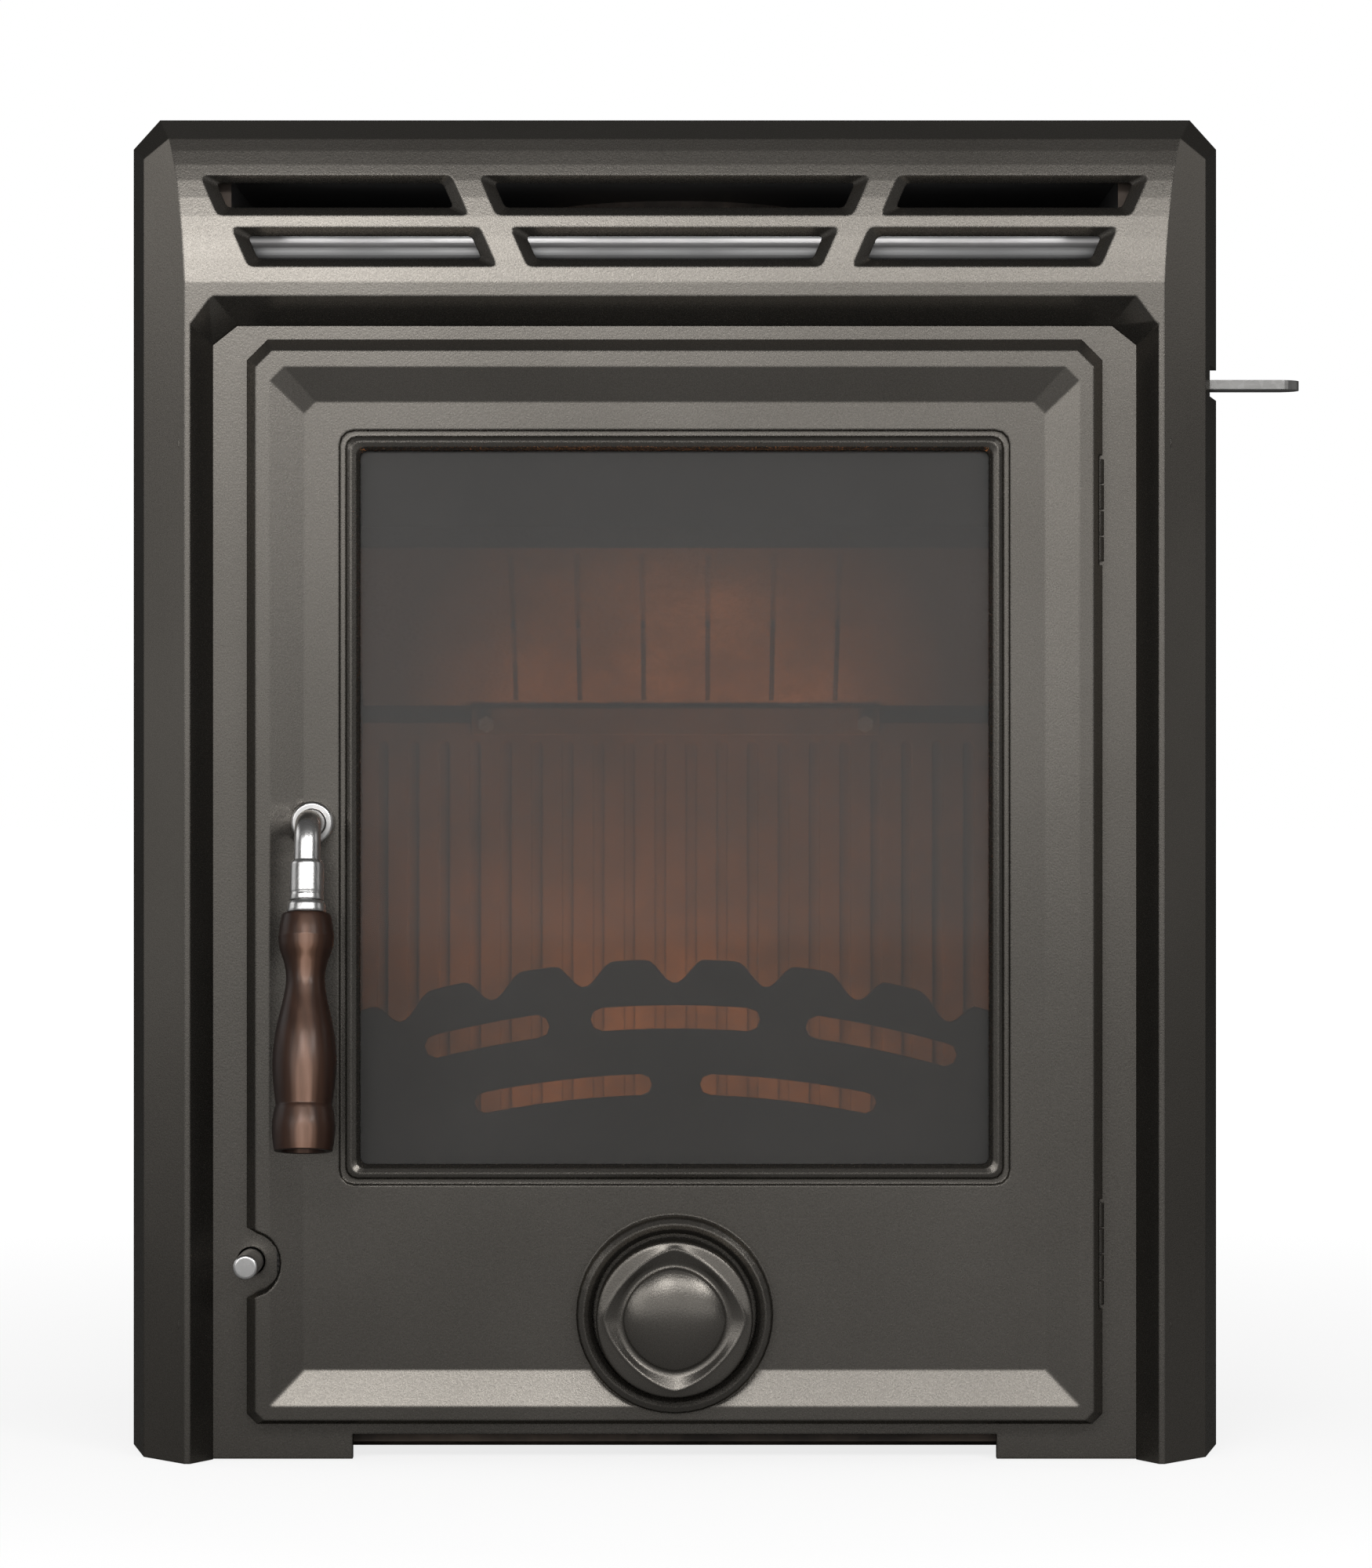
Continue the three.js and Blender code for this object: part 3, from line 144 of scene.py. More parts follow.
def ramp(tree, value, stops):
    """Maps a value through (position, grey or colour) stops; returns the colour output."""
    node = add(tree, "ShaderNodeValToRGB", _0=value)
    elements = node.color_ramp.elements
    while len(elements) < len(stops):
        elements.new(0.5)
    for element, (position, shade) in zip(elements, stops):
        element.position = position
        grey = isinstance(shade, (int, float))
        element.color = (shade, shade, shade, 1) if grey else (*shade, 1)
    return node.outputs[0]


def noise(tree, vector, scale, detail=2.0, roughness=0.5):
    """A cloud pattern between 0 and 1, with scale in cycles per metre."""
    return add(tree, "ShaderNodeTexNoise", Vector=vector, Scale=scale,
               Detail=detail, Roughness=roughness).outputs["Fac"]


def softened(tree, radius):
    """The surface normal with every edge rounded by a radius in metres."""
    return add(tree, "ShaderNodeBevel", {"samples": 4}, Radius=radius).outputs[0]


def bumped(tree, height, strength, distance, **normal):
    """The surface normal bent by a height pattern that is distance metres deep."""
    return add(tree, "ShaderNodeBump", Strength=strength, Distance=distance,
               Height=height, **normal).outputs[0]


def group(name, inputs, outputs):
    """An empty effect group with named sockets; returns its tree, input node and output node."""
    tree = bpy.data.node_groups.new(name, "ShaderNodeTree")
    kinds = {"value": "NodeSocketFloat", "vector": "NodeSocketVector"}
    for label, (kind, default) in inputs.items():
        socket = tree.interface.new_socket(label, in_out="INPUT", socket_type=kinds[kind])
        if default is not None:
            socket.default_value = default
    for label, kind in outputs.items():
        tree.interface.new_socket(label, in_out="OUTPUT", socket_type=kinds[kind])
    return tree, tree.nodes.new("NodeGroupInput"), tree.nodes.new("NodeGroupOutput")


def effect(tree, effect_tree, **inputs):
    """Places an effect group in a material and returns its node."""
    return add(tree, "ShaderNodeGroup", {"node_tree": effect_tree}, **inputs)


def finish(name):
    """A new material: returns it, its node tree, its Principled shader and object coordinates."""
    material = bpy.data.materials.new(name)
    material.use_nodes = True
    tree = material.node_tree
    shader = tree.nodes["Principled BSDF"]
    place = tree.nodes.new("ShaderNodeTexCoord").outputs["Object"]
    return material, tree, shader, place


# %% [markdown]
# ## Shared effects
#
# Cast iron is never smooth: the sand of the mould leaves a fine pebble, and the paint rounds it
# off. Its edges are soft as well, so they catch a thin line of light. Two effects hold that:
# `pebbled_skin` bends the surface normal with fine noise and rounds every edge by a radius, and
# `edge_wear_and_highlight` finds the edges, where paint is thinner and polished by hands, and
# where the paint is made paler, partly for that wear and partly as a painted highlight. Noise in
# a shader was chosen over real pebbles because they would need millions of faces.

# %% The pebbled skin and the rubbed edges
GRAIN_DEPTH = 0.0003
EDGE_GAIN = 14.0


def build_pebble():
    """Height = fine noise + coarser noise; normal = bump of that height over a rounded edge."""
    tree, given, result = group(
        "pebbled skin",
        {"Place": ("vector", None), "Grains per metre": ("value", 1300.0),
         "Height": ("value", 0.16), "Edge radius": ("value", 0.0012)},
        {"Normal": "vector", "Tone": "value"},
    )
    place, grains = given.outputs["Place"], given.outputs["Grains per metre"]
    fine = noise(tree, place, grains, 3.0, 0.55)
    wide = noise(tree, place, math_node(tree, "MULTIPLY", grains, 0.33), 2.0)
    height = weighted(tree, fine, 0.9, wide, 0.2)
    normal = bumped(tree, height, given.outputs["Height"], GRAIN_DEPTH,
                    Normal=softened(tree, given.outputs["Edge radius"]))
    plug(tree, result, Normal=normal, Tone=height)
    return tree


def build_edge_light():
    """Mask = 1 - dot(rounded normal, flat normal), stretched and broken up with noise."""
    # Marks the edges that are painted paler, for paint wear and as a painted highlight.
    tree, given, result = group(
        "edge wear and highlight",
        {"Place": ("vector", None), "Radius": ("value", 0.001), "Amount": ("value", 1.0)},
        {"Mask": "value"},
    )
    flat = tree.nodes.new("ShaderNodeNewGeometry").outputs["True Normal"]
    soft = softened(tree, given.outputs["Radius"])
    same = vector_node(tree, "DOT_PRODUCT", soft, flat).outputs["Value"]
    edge = math_node(tree, "MULTIPLY", math_node(tree, "SUBTRACT", 1.0, same), EDGE_GAIN, True)
    patches = noise(tree, given.outputs["Place"], 90.0, 4.0, 0.7)
    broken = math_node(tree, "MULTIPLY", edge, ramp(tree, patches, [(0.38, 0.15), (0.6, 1.0)]))
    mask = math_node(tree, "MULTIPLY", broken, given.outputs["Amount"], True)
    plug(tree, result, Mask=mask)
    return tree


pebbled_skin = build_pebble()
edge_wear_and_highlight = build_edge_light()

# %% [markdown]
# Soot and heat stains drift in clouds, large ones with small ones in them. Turned and plated
# steel shows very fine rings. Both are effects too, because several finishes use them.

# %% Soot, and fine turning lines


def build_soot():
    """Mask = cloud noise of two sizes, stretched, times the amount."""
    tree, given, result = group(
        "soot",
        {"Place": ("vector", None), "Amount": ("value", 0.6), "Size": ("value", 14.0)},
        {"Mask": "value"},
    )
    place, size = given.outputs["Place"], given.outputs["Size"]
    big = noise(tree, place, size, 5.0, 0.62)
    small = noise(tree, place, math_node(tree, "MULTIPLY", size, 9.0), 3.0)
    stretched = ramp(tree, weighted(tree, big, 0.75, small, 0.25), [(0.36, 0.0), (0.62, 1.0)])
    mask = math_node(tree, "MULTIPLY", stretched, given.outputs["Amount"])
    plug(tree, result, Mask=mask)
    return tree


def build_turning():
    """Height = noise squeezed along one direction, so that it becomes fine lines across it."""
    tree, given, result = group(
        "turning lines",
        {"Place": ("vector", None), "Across": ("vector", (40.0, 2500.0, 40.0)),
         "Depth": ("value", 0.05)},
        {"Normal": "vector", "Lines": "value"},
    )
    squeezed = vector_node(tree, "MULTIPLY", given.outputs["Place"], given.outputs["Across"])
    lines = noise(tree, squeezed.outputs[0], 1.0, 3.0, 0.6)
    normal = bumped(tree, lines, given.outputs["Depth"], 0.0003, Normal=softened(tree, 0.0004))
    plug(tree, result, Normal=normal, Lines=lines)
    return tree


soot = build_soot()
turning_lines = build_turning()

# %% [markdown]
# ## The painted iron
#
# The stove's face is sprayed with a warm dark grey heat-proof paint that has metal flake in it,
# so it is nearly a metal: it has no clear mirror image, but a slope that faces the light turns
# almost white. Metallic 0.88 with a roughness near 0.28 behaves that way. The edges are painted a
# little paler, partly where hands rub the paint and partly as a painted highlight along them.

# %% Stove paint
PAINT = (0.165, 0.153, 0.138, 1)
PAINT_DARK = (0.135, 0.125, 0.112, 1)
# Edge colour, for paint wear and for a painted highlight along the edges.
PAINT_EDGE_WEAR_AND_HIGHLIGHT = (0.30, 0.285, 0.26, 1)
PAINT_SHEEN = (0.25, 0.24, 0.22, 1)
RUSTED = (0.115, 0.085, 0.065, 1)
SOOTED = (0.035, 0.03, 0.027, 1)


def stove_paint():
    """Two dark greys in clouds, with speckles on the grains and paler edges, for wear and as a
    painted highlight.
    """
    material, tree, shader, place = finish("stove_paint")
    skin = effect(tree, pebbled_skin, Place=place)
    edges = effect(tree, edge_wear_and_highlight, Place=place, Amount=0.2, Radius=0.0007)
    clouds = ramp(tree, noise(tree, place, 7.0, 3.0), [(0.35, 0.0), (0.65, 1.0)])
    base = mix_colour(tree, clouds, PAINT_DARK, PAINT)
    speckles = math_node(tree, "MULTIPLY", skin.outputs["Tone"], 0.35)
    speckled = mix_colour(tree, speckles, base, PAINT_DARK)
    # Paler edges: paint wear and a painted highlight along them.
    wear_and_highlight = mix_colour(tree, edges.outputs["Mask"], speckled, PAINT_EDGE_WEAR_AND_HIGHLIGHT)
    plug(tree, shader, Base_Color=wear_and_highlight, Metallic=0.88, Specular_Tint=PAINT_SHEEN,
         Roughness=offset(tree, skin.outputs["Tone"], 0.10, 0.22), Normal=skin.outputs["Normal"])
    return material


def inner_iron():
    """Coarse bare casting: rust brown, and black where soot lies."""
    material, tree, shader, place = finish("inner_iron")
    skin = effect(tree, pebbled_skin, Place=place, Grains_per_metre=480.0, Height=0.5)
    stain = effect(tree, soot, Place=place, Amount=0.85).outputs["Mask"]
    plug(tree, shader, Base_Color=mix_colour(tree, stain, RUSTED, SOOTED), Metallic=0.25,
         Roughness=offset(tree, stain, 0.2, 0.6), Normal=skin.outputs["Normal"])
    return material


# %% [markdown]
# Fireboard is pressed from mica flakes: pale brown, dead matt and crumbly. A cell pattern gives
# the flakes. Away from its middle it turns nearly black: the distance from the pale centre is
# measured in steps of 130 mm sideways and 110 mm upwards.

# %% Fireboard
PALE_CENTRE = (0.0, 0.0, 0.33)
PALE_SCALE = (1 / 0.13, 0.0, 1 / 0.11)
FLAKE_PALE = (0.30, 0.23, 0.17, 1)
FLAKE_BROWN = (0.20, 0.15, 0.11, 1)
BOARD_STAIN = (0.05, 0.038, 0.03, 1)
BOARD_DARKEST = (0.016, 0.014, 0.013, 1)


def fireboard():
    """Stained brown flakes that turn nearly black with the length of (place - centre) * scale."""
    material, tree, shader, place = finish("fireboard")
    flakes = add(tree, "ShaderNodeTexVoronoi", Vector=place, Scale=420.0).outputs["Distance"]
    stain = effect(tree, soot, Place=place, Amount=0.7, Size=10.0).outputs["Mask"]
    board = mix_colour(tree, ramp(tree, flakes, [(0.1, 0.0), (0.7, 1.0)]), FLAKE_PALE, FLAKE_BROWN)
    stained = mix_colour(tree, stain, board, BOARD_STAIN)
    centred = vector_node(tree, "SUBTRACT", place, PALE_CENTRE).outputs[0]
    scaled = vector_node(tree, "MULTIPLY", centred, PALE_SCALE).outputs[0]
    away = vector_node(tree, "LENGTH", scaled).outputs["Value"]
    # Darker away from the centre of the board, down to nearly black.
    colour = mix_colour(tree, ramp(tree, away, [(0.45, 0.0), (1.0, 1.0)]), stained, BOARD_DARKEST)
    plug(tree, shader, Base_Color=colour,
         Roughness=ramp(tree, flakes, [(0.0, 0.86), (1.0, 0.98)]),
         Normal=bumped(tree, flakes, 0.5, 0.0008, Normal=softened(tree, 0.0015)))
    return material


# %% [markdown]
# ## Metals that aren't painted
#
# The handle and rod are plated: a satin mirror, with faint turning lines. The jacket is black
# sheet steel, the lever and small screws are zinc plated, which is duller and slightly mottled.
# The air deflector behind the lower slots is bright sheet that heat has clouded; by height it
# carries painted light: painted shade towards its lower edge and on top, and a painted highlight
# in a band above its middle.

# %% Plated, sheet and zinc steel
PLATING = ((0.80, 0.79, 0.78, 1), (0.68, 0.67, 0.66, 1))
SHEET = ((0.05, 0.05, 0.052, 1), (0.085, 0.08, 0.076, 1))
ZINC = ((0.235, 0.232, 0.225, 1), (0.30, 0.297, 0.288, 1))
DEFLECTOR_FROM, DEFLECTOR_TO = 0.5165, 0.5390
# Painted light by height: painted shade low down and on top, a painted highlight band between.
DEFLECTOR_PAINTED_LIGHT = [(0.0, 0.015), (0.17, 0.09), (0.36, 0.36), (0.55, (0.72, 0.70, 0.70)),
                    (0.62, 0.20), (1.0, 0.06)]


def bright_steel():
    """Plating whose fine lines shift its colour and gloss a little."""
    material, tree, shader, place = finish("bright_steel")
    turned = effect(tree, turning_lines, Place=place, Depth=0.03)
    lines = turned.outputs["Lines"]
    plug(tree, shader, Base_Color=mix_colour(tree, lines, *PLATING), Metallic=1.0,
         Roughness=ramp(tree, lines, [(0.3, 0.24), (0.7, 0.32)]), Normal=turned.outputs["Normal"])
    return material


def sheet_steel():
    """Thinly coated black sheet with a faint grain and heat stains."""
    material, tree, shader, place = finish("sheet_steel")
    skin = effect(tree, pebbled_skin, Place=place, Grains_per_metre=900.0, Height=0.12,
                  Edge_radius=0.0006)
    stain = effect(tree, soot, Place=place, Amount=0.5, Size=6.0).outputs["Mask"]
    plug(tree, shader, Base_Color=mix_colour(tree, stain, *SHEET), Metallic=0.3,
         Roughness=ramp(tree, stain, [(0.0, 0.42), (1.0, 0.6)]), Normal=skin.outputs["Normal"])
    return material


def zinc_steel():
    """Flat crystals between two greys, crossed by fine drawing lines."""
    material, tree, shader, place = finish("zinc_steel")
    crystals = add(tree, "ShaderNodeTexVoronoi", Vector=place, Scale=260.0).outputs["Color"]
    drawn = effect(tree, turning_lines, Place=place, Across=(60.0, 1800.0, 1800.0), Depth=0.06)
    rough = ramp(tree, drawn.outputs["Lines"], [(0.3, 0.34), (0.7, 0.5)])
    plug(tree, shader, Base_Color=mix_colour(tree, crystals, *ZINC), Metallic=0.9,
         Roughness=rough, Normal=drawn.outputs["Normal"])
    return material


def deflector_steel():
    """Painted light by height, from its lower edge to its top: painted shade and a painted
    highlight band, times clouds.
    """
    material, tree, shader, place = finish("deflector_steel")
    clouds = ramp(tree, noise(tree, place, 22.0, 1.0), [(0.35, 0.80), (0.65, 1.0)])
    height = add(tree, "ShaderNodeSeparateXYZ", _0=place).outputs["Z"]
    share = add(tree, "ShaderNodeMapRange", Value=height, From_Min=DEFLECTOR_FROM,
                From_Max=DEFLECTOR_TO).outputs[0]
    # The height ramp paints shade and a highlight band into the colour.
    shade = ramp(tree, share, DEFLECTOR_PAINTED_LIGHT)
    plug(tree, shader, Base_Color=mix_colour(tree, 1.0, shade, clouds, "MULTIPLY"), Metallic=1.0,
         Roughness=ramp(tree, clouds, [(0.8, 0.42), (1.0, 0.34)]))
    return material


# %% [markdown]
# ## Wood, glass and rope
#
# The grip is turned from a dark hardwood and varnished. Its grain runs along the grip, so the
# pattern is stretched lengthwise, and the varnish is a thin clear coat over it. The angle of view
# gives the wood a painted highlight where it faces the eye and painted shade where it turns away.
# The glass is a smoky ceramic: it lets four fifths of the light in and has a thin grey haze. Its
# low index keeps the lamps' mirror images on it weak, as they are in the photograph.

# %% Varnished wood, glass and rope
WOOD_GRAIN = [(0.25, (0.31, 0.165, 0.105)), (0.55, (0.38, 0.205, 0.133)),
              (0.85, (0.46, 0.26, 0.175))]
# By the angle of view: a painted highlight where the grip faces the eye, painted shade where it
# turns away.
WOOD_PAINTED_LIGHT = [(0.02, (0.78, 0.80, 0.84)), (0.045, (0.36, 0.33, 0.31)), (0.11, (0.13, 0.10, 0.08)),
              (0.32, (0.07, 0.047, 0.035)), (0.8, (0.035, 0.022, 0.016))]
GLASS_HAZE = [(0.3, (0.27, 0.265, 0.255)), (0.7, (0.30, 0.295, 0.285))]
WEAVE = ((0.025, 0.024, 0.023, 1), (0.075, 0.07, 0.066, 1))


def turned_wood():
    """Colour of 0.6 fibres + 0.4 year rings, times a painted highlight and painted shade for the
    angle of view.
    """
    material, tree, shader, place = finish("turned_wood")
    lengthwise = add(tree, "ShaderNodeMapping", Vector=place, Scale=(1.0, 1.0, 0.09)).outputs[0]
    fibres = noise(tree, lengthwise, 520.0, 5.0, 0.65)
    rings = add(tree, "ShaderNodeTexWave", {"wave_type": "RINGS", "rings_direction": "Z"},
                Vector=lengthwise, Scale=60.0, Distortion=5.0, Detail=3.0).outputs["Fac"]
    brown = ramp(tree, weighted(tree, fibres, 0.6, rings, 0.4), WOOD_GRAIN)
    turned_away = add(tree, "ShaderNodeLayerWeight", Blend=0.5).outputs["Facing"]
    # Painted highlight and painted shade: pale facing the eye, darker turned away.
    depth = ramp(tree, turned_away, WOOD_PAINTED_LIGHT)
    plug(tree, shader, Base_Color=mix_colour(tree, 1.0, brown, depth, "MULTIPLY"),
         Roughness=ramp(tree, fibres, [(0.3, 0.40), (0.7, 0.50)]),
         Specular_IOR_Level=0.3, Coat_Weight=0.2, Coat_Roughness=0.22,
         Normal=bumped(tree, fibres, 0.08, 0.0003))
    return material


def ceramic_glass():
    """A mostly clear pane with haze and smears in clouds."""
    material, tree, shader, place = finish("ceramic_glass")
    plug(tree, shader, Base_Color=ramp(tree, noise(tree, place, 9.0, 3.0), GLASS_HAZE),
         Transmission_Weight=0.80, IOR=1.2,
         Roughness=ramp(tree, noise(tree, place, 6.0, 1.0), [(0.3, 0.04), (0.7, 0.06)]))
    return material


def seal_fibre():
    """Black rope: a diagonal weave between two dark greys, matt and bumpy."""
    material, tree, shader, place = finish("seal_fibre")
    weave = add(tree, "ShaderNodeTexWave", {"bands_direction": "DIAGONAL"},
                Vector=place, Scale=260.0, Distortion=1.5, Detail=2.0).outputs["Fac"]
    plug(tree, shader, Base_Color=mix_colour(tree, weave, *WEAVE),
         Roughness=ramp(tree, weave, [(0.0, 0.85), (1.0, 0.98)]),
         Normal=bumped(tree, weave, 0.6, 0.0008))
    return material


# %% [markdown]
# ## Dressing the pieces of the frame
#
# The record names a finish for every piece, so the painted, plated and lined pieces take the
# material whose name their slot has. The air deflector is the one that differs.

# %% Assign the materials
FINISHES = {
    "stove_paint": stove_paint(), "inner_iron": inner_iron(), "fireboard": fireboard(),
    "bright_steel": bright_steel(), "sheet_steel": sheet_steel(), "zinc_steel": zinc_steel(),
    "turned_wood": turned_wood(), "ceramic_glass": ceramic_glass(), "seal_fibre": seal_fibre(),
}
SLOT_OF = {part["node"]: part["material_slot"] for part in frame["record"]["subparts"]}
SPECIAL = {"air_deflector": deflector_steel()}
for node_name, node in nodes.items():
    node.data.materials.clear()
    node.data.materials.append(SPECIAL.get(node_name, FINISHES[SLOT_OF[node_name]]))
print("dressed", len(nodes), "pieces in", len(FINISHES), "finishes")

# %% [markdown]
# ## Surfaces from arrays
#
# Each new surface is a stack of closed rings: an array of shape (rings, points, 3) in
# millimetres. `skin` turns the stack into a mesh, `rounded` softens the corners of its section
# and `spun` makes the stack from a profile turned about an axis. `fit` then gives the new piece
# the place of the plain one.

# %% Array helpers
TINY = 1e-9
NEARLY_HALF = 0.48


def quadratic(a, corner, c, t):
    """A curve from a to c that leaves and arrives along its corner:
    (1-t)^2 a + 2t(1-t) corner + t^2 c."""
    return (1 - t) ** 2 * a + 2 * t * (1 - t) * corner + t**2 * c


def rounded(rings, reach, steps=5):
    """Each inner ring becomes a short curve, from reach before the corner to reach after it, or
    to nearly half way to the next ring where that is nearer."""
    before, corner, after = rings[:-2], rings[1:-1], rings[2:]
    back, onward = before - corner, after - corner
    long_back = np.linalg.norm(back, axis=-1, keepdims=True)
    long_on = np.linalg.norm(onward, axis=-1, keepdims=True)
    a = corner + back * np.minimum(reach / np.maximum(long_back, TINY), NEARLY_HALF)
    c = corner + onward * np.minimum(reach / np.maximum(long_on, TINY), NEARLY_HALF)
    t = np.linspace(0, 1, steps)[:, None, None]
    curves = quadratic(a[:, None], corner[:, None], c[:, None], t)
    return np.concatenate([rings[:1], curves.reshape(-1, *rings.shape[1:]), rings[-1:]])


def spun(profile, points=96):
    """A profile of [radius, y] turned about the Y axis: x = r cos a, z = r sin a."""
    radius, along = np.asarray(profile, float).T
    angle = np.linspace(0, 2 * np.pi, points, endpoint=False)
    x = radius[:, None] * np.cos(angle)
    z = radius[:, None] * np.sin(angle)
    return np.stack([x, np.broadcast_to(along[:, None], x.shape), z], axis=-1)


def skin(name, rings, closed=False):
    """Quads between neighbouring rings; a closed stack joins its last ring to its first, an open
    one gets a fan of triangles to the middle of each end. Faces are turned to point outwards."""
    count, points = rings.shape[:2]
    ids = np.arange(count * points).reshape(count, points)
    upper = np.roll(ids, -1, axis=0) if closed else ids[1:]
    lower = ids if closed else ids[:-1]
    quads = np.stack([lower, np.roll(lower, -1, 1), np.roll(upper, -1, 1), upper], -1)
    quads = quads.reshape(-1, 4)
    vertices = rings.reshape(-1, 3)
    fans = np.empty((0, 3), int)
    if not closed:
        vertices = np.concatenate([vertices, rings[:1].mean(1), rings[-1:].mean(1)])
        first, last = len(vertices) - 2, len(vertices) - 1
        start = np.stack([np.roll(ids[0], -1), ids[0], np.full(points, first)], -1)
        end = np.stack([ids[-1], np.roll(ids[-1], -1), np.full(points, last)], -1)
        fans = np.concatenate([start, end])
    triangles = np.concatenate([quads[:, [0, 1, 2]], quads[:, [0, 2, 3]], fans])
    a, b, c = (vertices[triangles[:, i]] for i in range(3))
    if np.einsum("ij,ij->", a, np.cross(b, c)) < 0:
        quads, fans = quads[:, ::-1], fans[:, ::-1]
    mesh = bpy.data.meshes.new(name)
    mesh.from_pydata((vertices * MM).tolist(), [], quads.tolist() + fans.tolist())
    mesh.polygons.foreach_set("use_smooth", np.ones(len(mesh.polygons), bool))
    piece = bpy.data.objects.new(name, mesh)
    piece.modifiers.new("flat faces stay flat", "WEIGHTED_NORMAL")
    bpy.context.scene.collection.objects.link(piece)
    return piece


def fit(piece, node_name, body):
    """The piece takes the place, the body and the finish of a piece of the frame."""
    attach(piece, body)
    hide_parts(node_name)
    piece.data.materials.append(FINISHES[SLOT_OF[node_name]])
    print(piece.name, len(piece.data.polygons), "faces")


# %% [markdown]
# ## The air wheel
#
# The wheel is a casting with a round rim, a four-pointed lip and a domed middle. From the front
# the lip and dome are neither round nor square: their distance from the centre follows a power
# curve |x|^p + |z|^p = h^p, with p = 2 for a circle and p = 1 for a diamond. A plain lathe shape
# can't change its outline on the way, so each ring gets its own radius for every angle.

# %% Spin wheel
WHEEL_Z = 64.2
BORE, RIM = 5.4, 33.5
BORE_END, REAR, LIP_FRONT, DOME_EDGE = -78.5, -64.1, -87.0, -84.4
LIP_HALF, LIP_POWER = 30.1, 1.5
DOME_HALF, DOME_POWER, DOME_HEIGHT = 22.9, 1.85, 5.8


def diamond(half, angle, power):
    """Distance from the centre at an angle: half / (|cos|^p + |sin|^p)^(1/p)."""
    return half / (np.abs(np.cos(angle)) ** power + np.abs(np.sin(angle)) ** power) ** (1 / power)


def spin_wheel():
    """A section of (radius, y) pairs: blind bore, rear, rim, lip, groove, and a dome of height
    h (1 - s^2)^0.75 over the share s of its half width. Each radius is an array over the angle."""
    angle = np.linspace(0, 2 * np.pi, 192, endpoint=False)
    circle = np.ones_like(angle)
    lip = diamond(LIP_HALF, angle, LIP_POWER)
    dome = diamond(DOME_HALF, angle, DOME_POWER)
    section = [
        (BORE * circle, BORE_END), (BORE * circle, REAR), ((RIM - 1.0) * circle, REAR),
        (RIM * circle, REAR - 1.0), (RIM * circle, -84.2), ((RIM - 0.6) * circle, -85.6),
        ((RIM - 1.6) * circle, -85.9), (lip + 0.5, -86.6), (lip, LIP_FRONT), (lip - 0.6, -86.8),
        (dome + 1.5, -84.9), (dome + 0.2, -84.6), (dome - 0.6, -84.8),
    ]
    for share in np.linspace(0.93, 0.04, 14):
        section.append((dome * share, DOME_EDGE - DOME_HEIGHT * (1 - share**2) ** 0.75))
    reach = np.array([r for r, _ in section])
    depth = np.array([np.full_like(angle, y) for _, y in section])
    rings = np.stack([reach * np.cos(angle), depth, reach * np.sin(angle)], -1)
    rings = rounded(rings, 0.3)
    rings[..., 2] += WHEEL_Z
    return skin("air_wheel_casting", rings)


fit(spin_wheel(), "spin_wheel", "wheel")

# %% [markdown]
# ## The door handle
#
# A steel bar comes out of the door, turns down and carries a collar, a ferrule and the wooden
# grip. The bar is a circle carried along a path; the other three are profiles turned about the
# leaning part of that path. A curve object with a bevel could make the bar too, but arrays share
# the elbow and the lean with the turned parts, so that they can't drift apart.

# %% The path of the bar
GRIP_X, GRIP_Z, ELBOW_Y = -156.1, 276.0, -91.0
ELBOW = np.array([GRIP_X, ELBOW_Y, GRIP_Z])
LEAN = math.radians(10)
DOWN = np.array([0.0, -math.sin(LEAN), -math.cos(LEAN)])
SIDE = np.array([1.0, 0.0, 0.0])
BEND = 9.0
SHAFT, SPIGOT = 5.65, 4.7
CLEARANCE = 0.3
COLLAR_FROM, COLLAR_LONG, FERRULE_LONG = 16.0, 17.6, 5.0
GRIP_FROM = COLLAR_FROM + COLLAR_LONG + FERRULE_LONG + CLEARANCE


def bar():
    """Straight out of the door, round the elbow as a quadratic curve and straight down. Each
    ring is p + r (cos a side + sin a up), across the path at p; the first two are thinner."""
    def point(y):
        return np.array([GRIP_X, y, GRIP_Z])

    t = np.linspace(0, 1, 24)[:, None]
    curve = quadratic(point(ELBOW_Y + BEND), ELBOW, ELBOW + DOWN * BEND, t)
    straight = [point(y) for y in (-37.5, -65.9, -66.1)]
    path = np.concatenate([straight, curve, [ELBOW + DOWN * (GRIP_FROM - CLEARANCE)]])
    radius = np.full(len(path), SHAFT)
    radius[:2] = SPIGOT
    ahead = np.gradient(path, axis=0)
    ahead[:3] = (0, -1, 0)
    ahead[-1] = DOWN
    ahead /= np.linalg.norm(ahead, axis=1, keepdims=True)
    up = np.cross(ahead, SIDE)
    angle = np.linspace(0, 2 * np.pi, 64, endpoint=False)
    across = np.cos(angle)[None, :, None] * SIDE + np.sin(angle)[None, :, None] * up[:, None, :]
    return skin("handle_bar", path[:, None, :] + radius[:, None, None] * across)


def on_bar(rings, start):
    """Stands a stack that was turned about Y on the leaning bar, start mm below the elbow."""
    x, y, z = np.moveaxis(rings, -1, 0)[..., None]
    return ELBOW + x * SIDE + z * np.cross(DOWN, SIDE) + (start - y) * DOWN


fit(bar(), "handle_shaft", "handle")

# %% [markdown]
# Three turned rings dress the bar: a collar with a groove, the ferrule that holds the grip, and
# the rosette on the door. Their profiles are closed lists of [radius, y], so the ring is open
# inside and clears the bar.

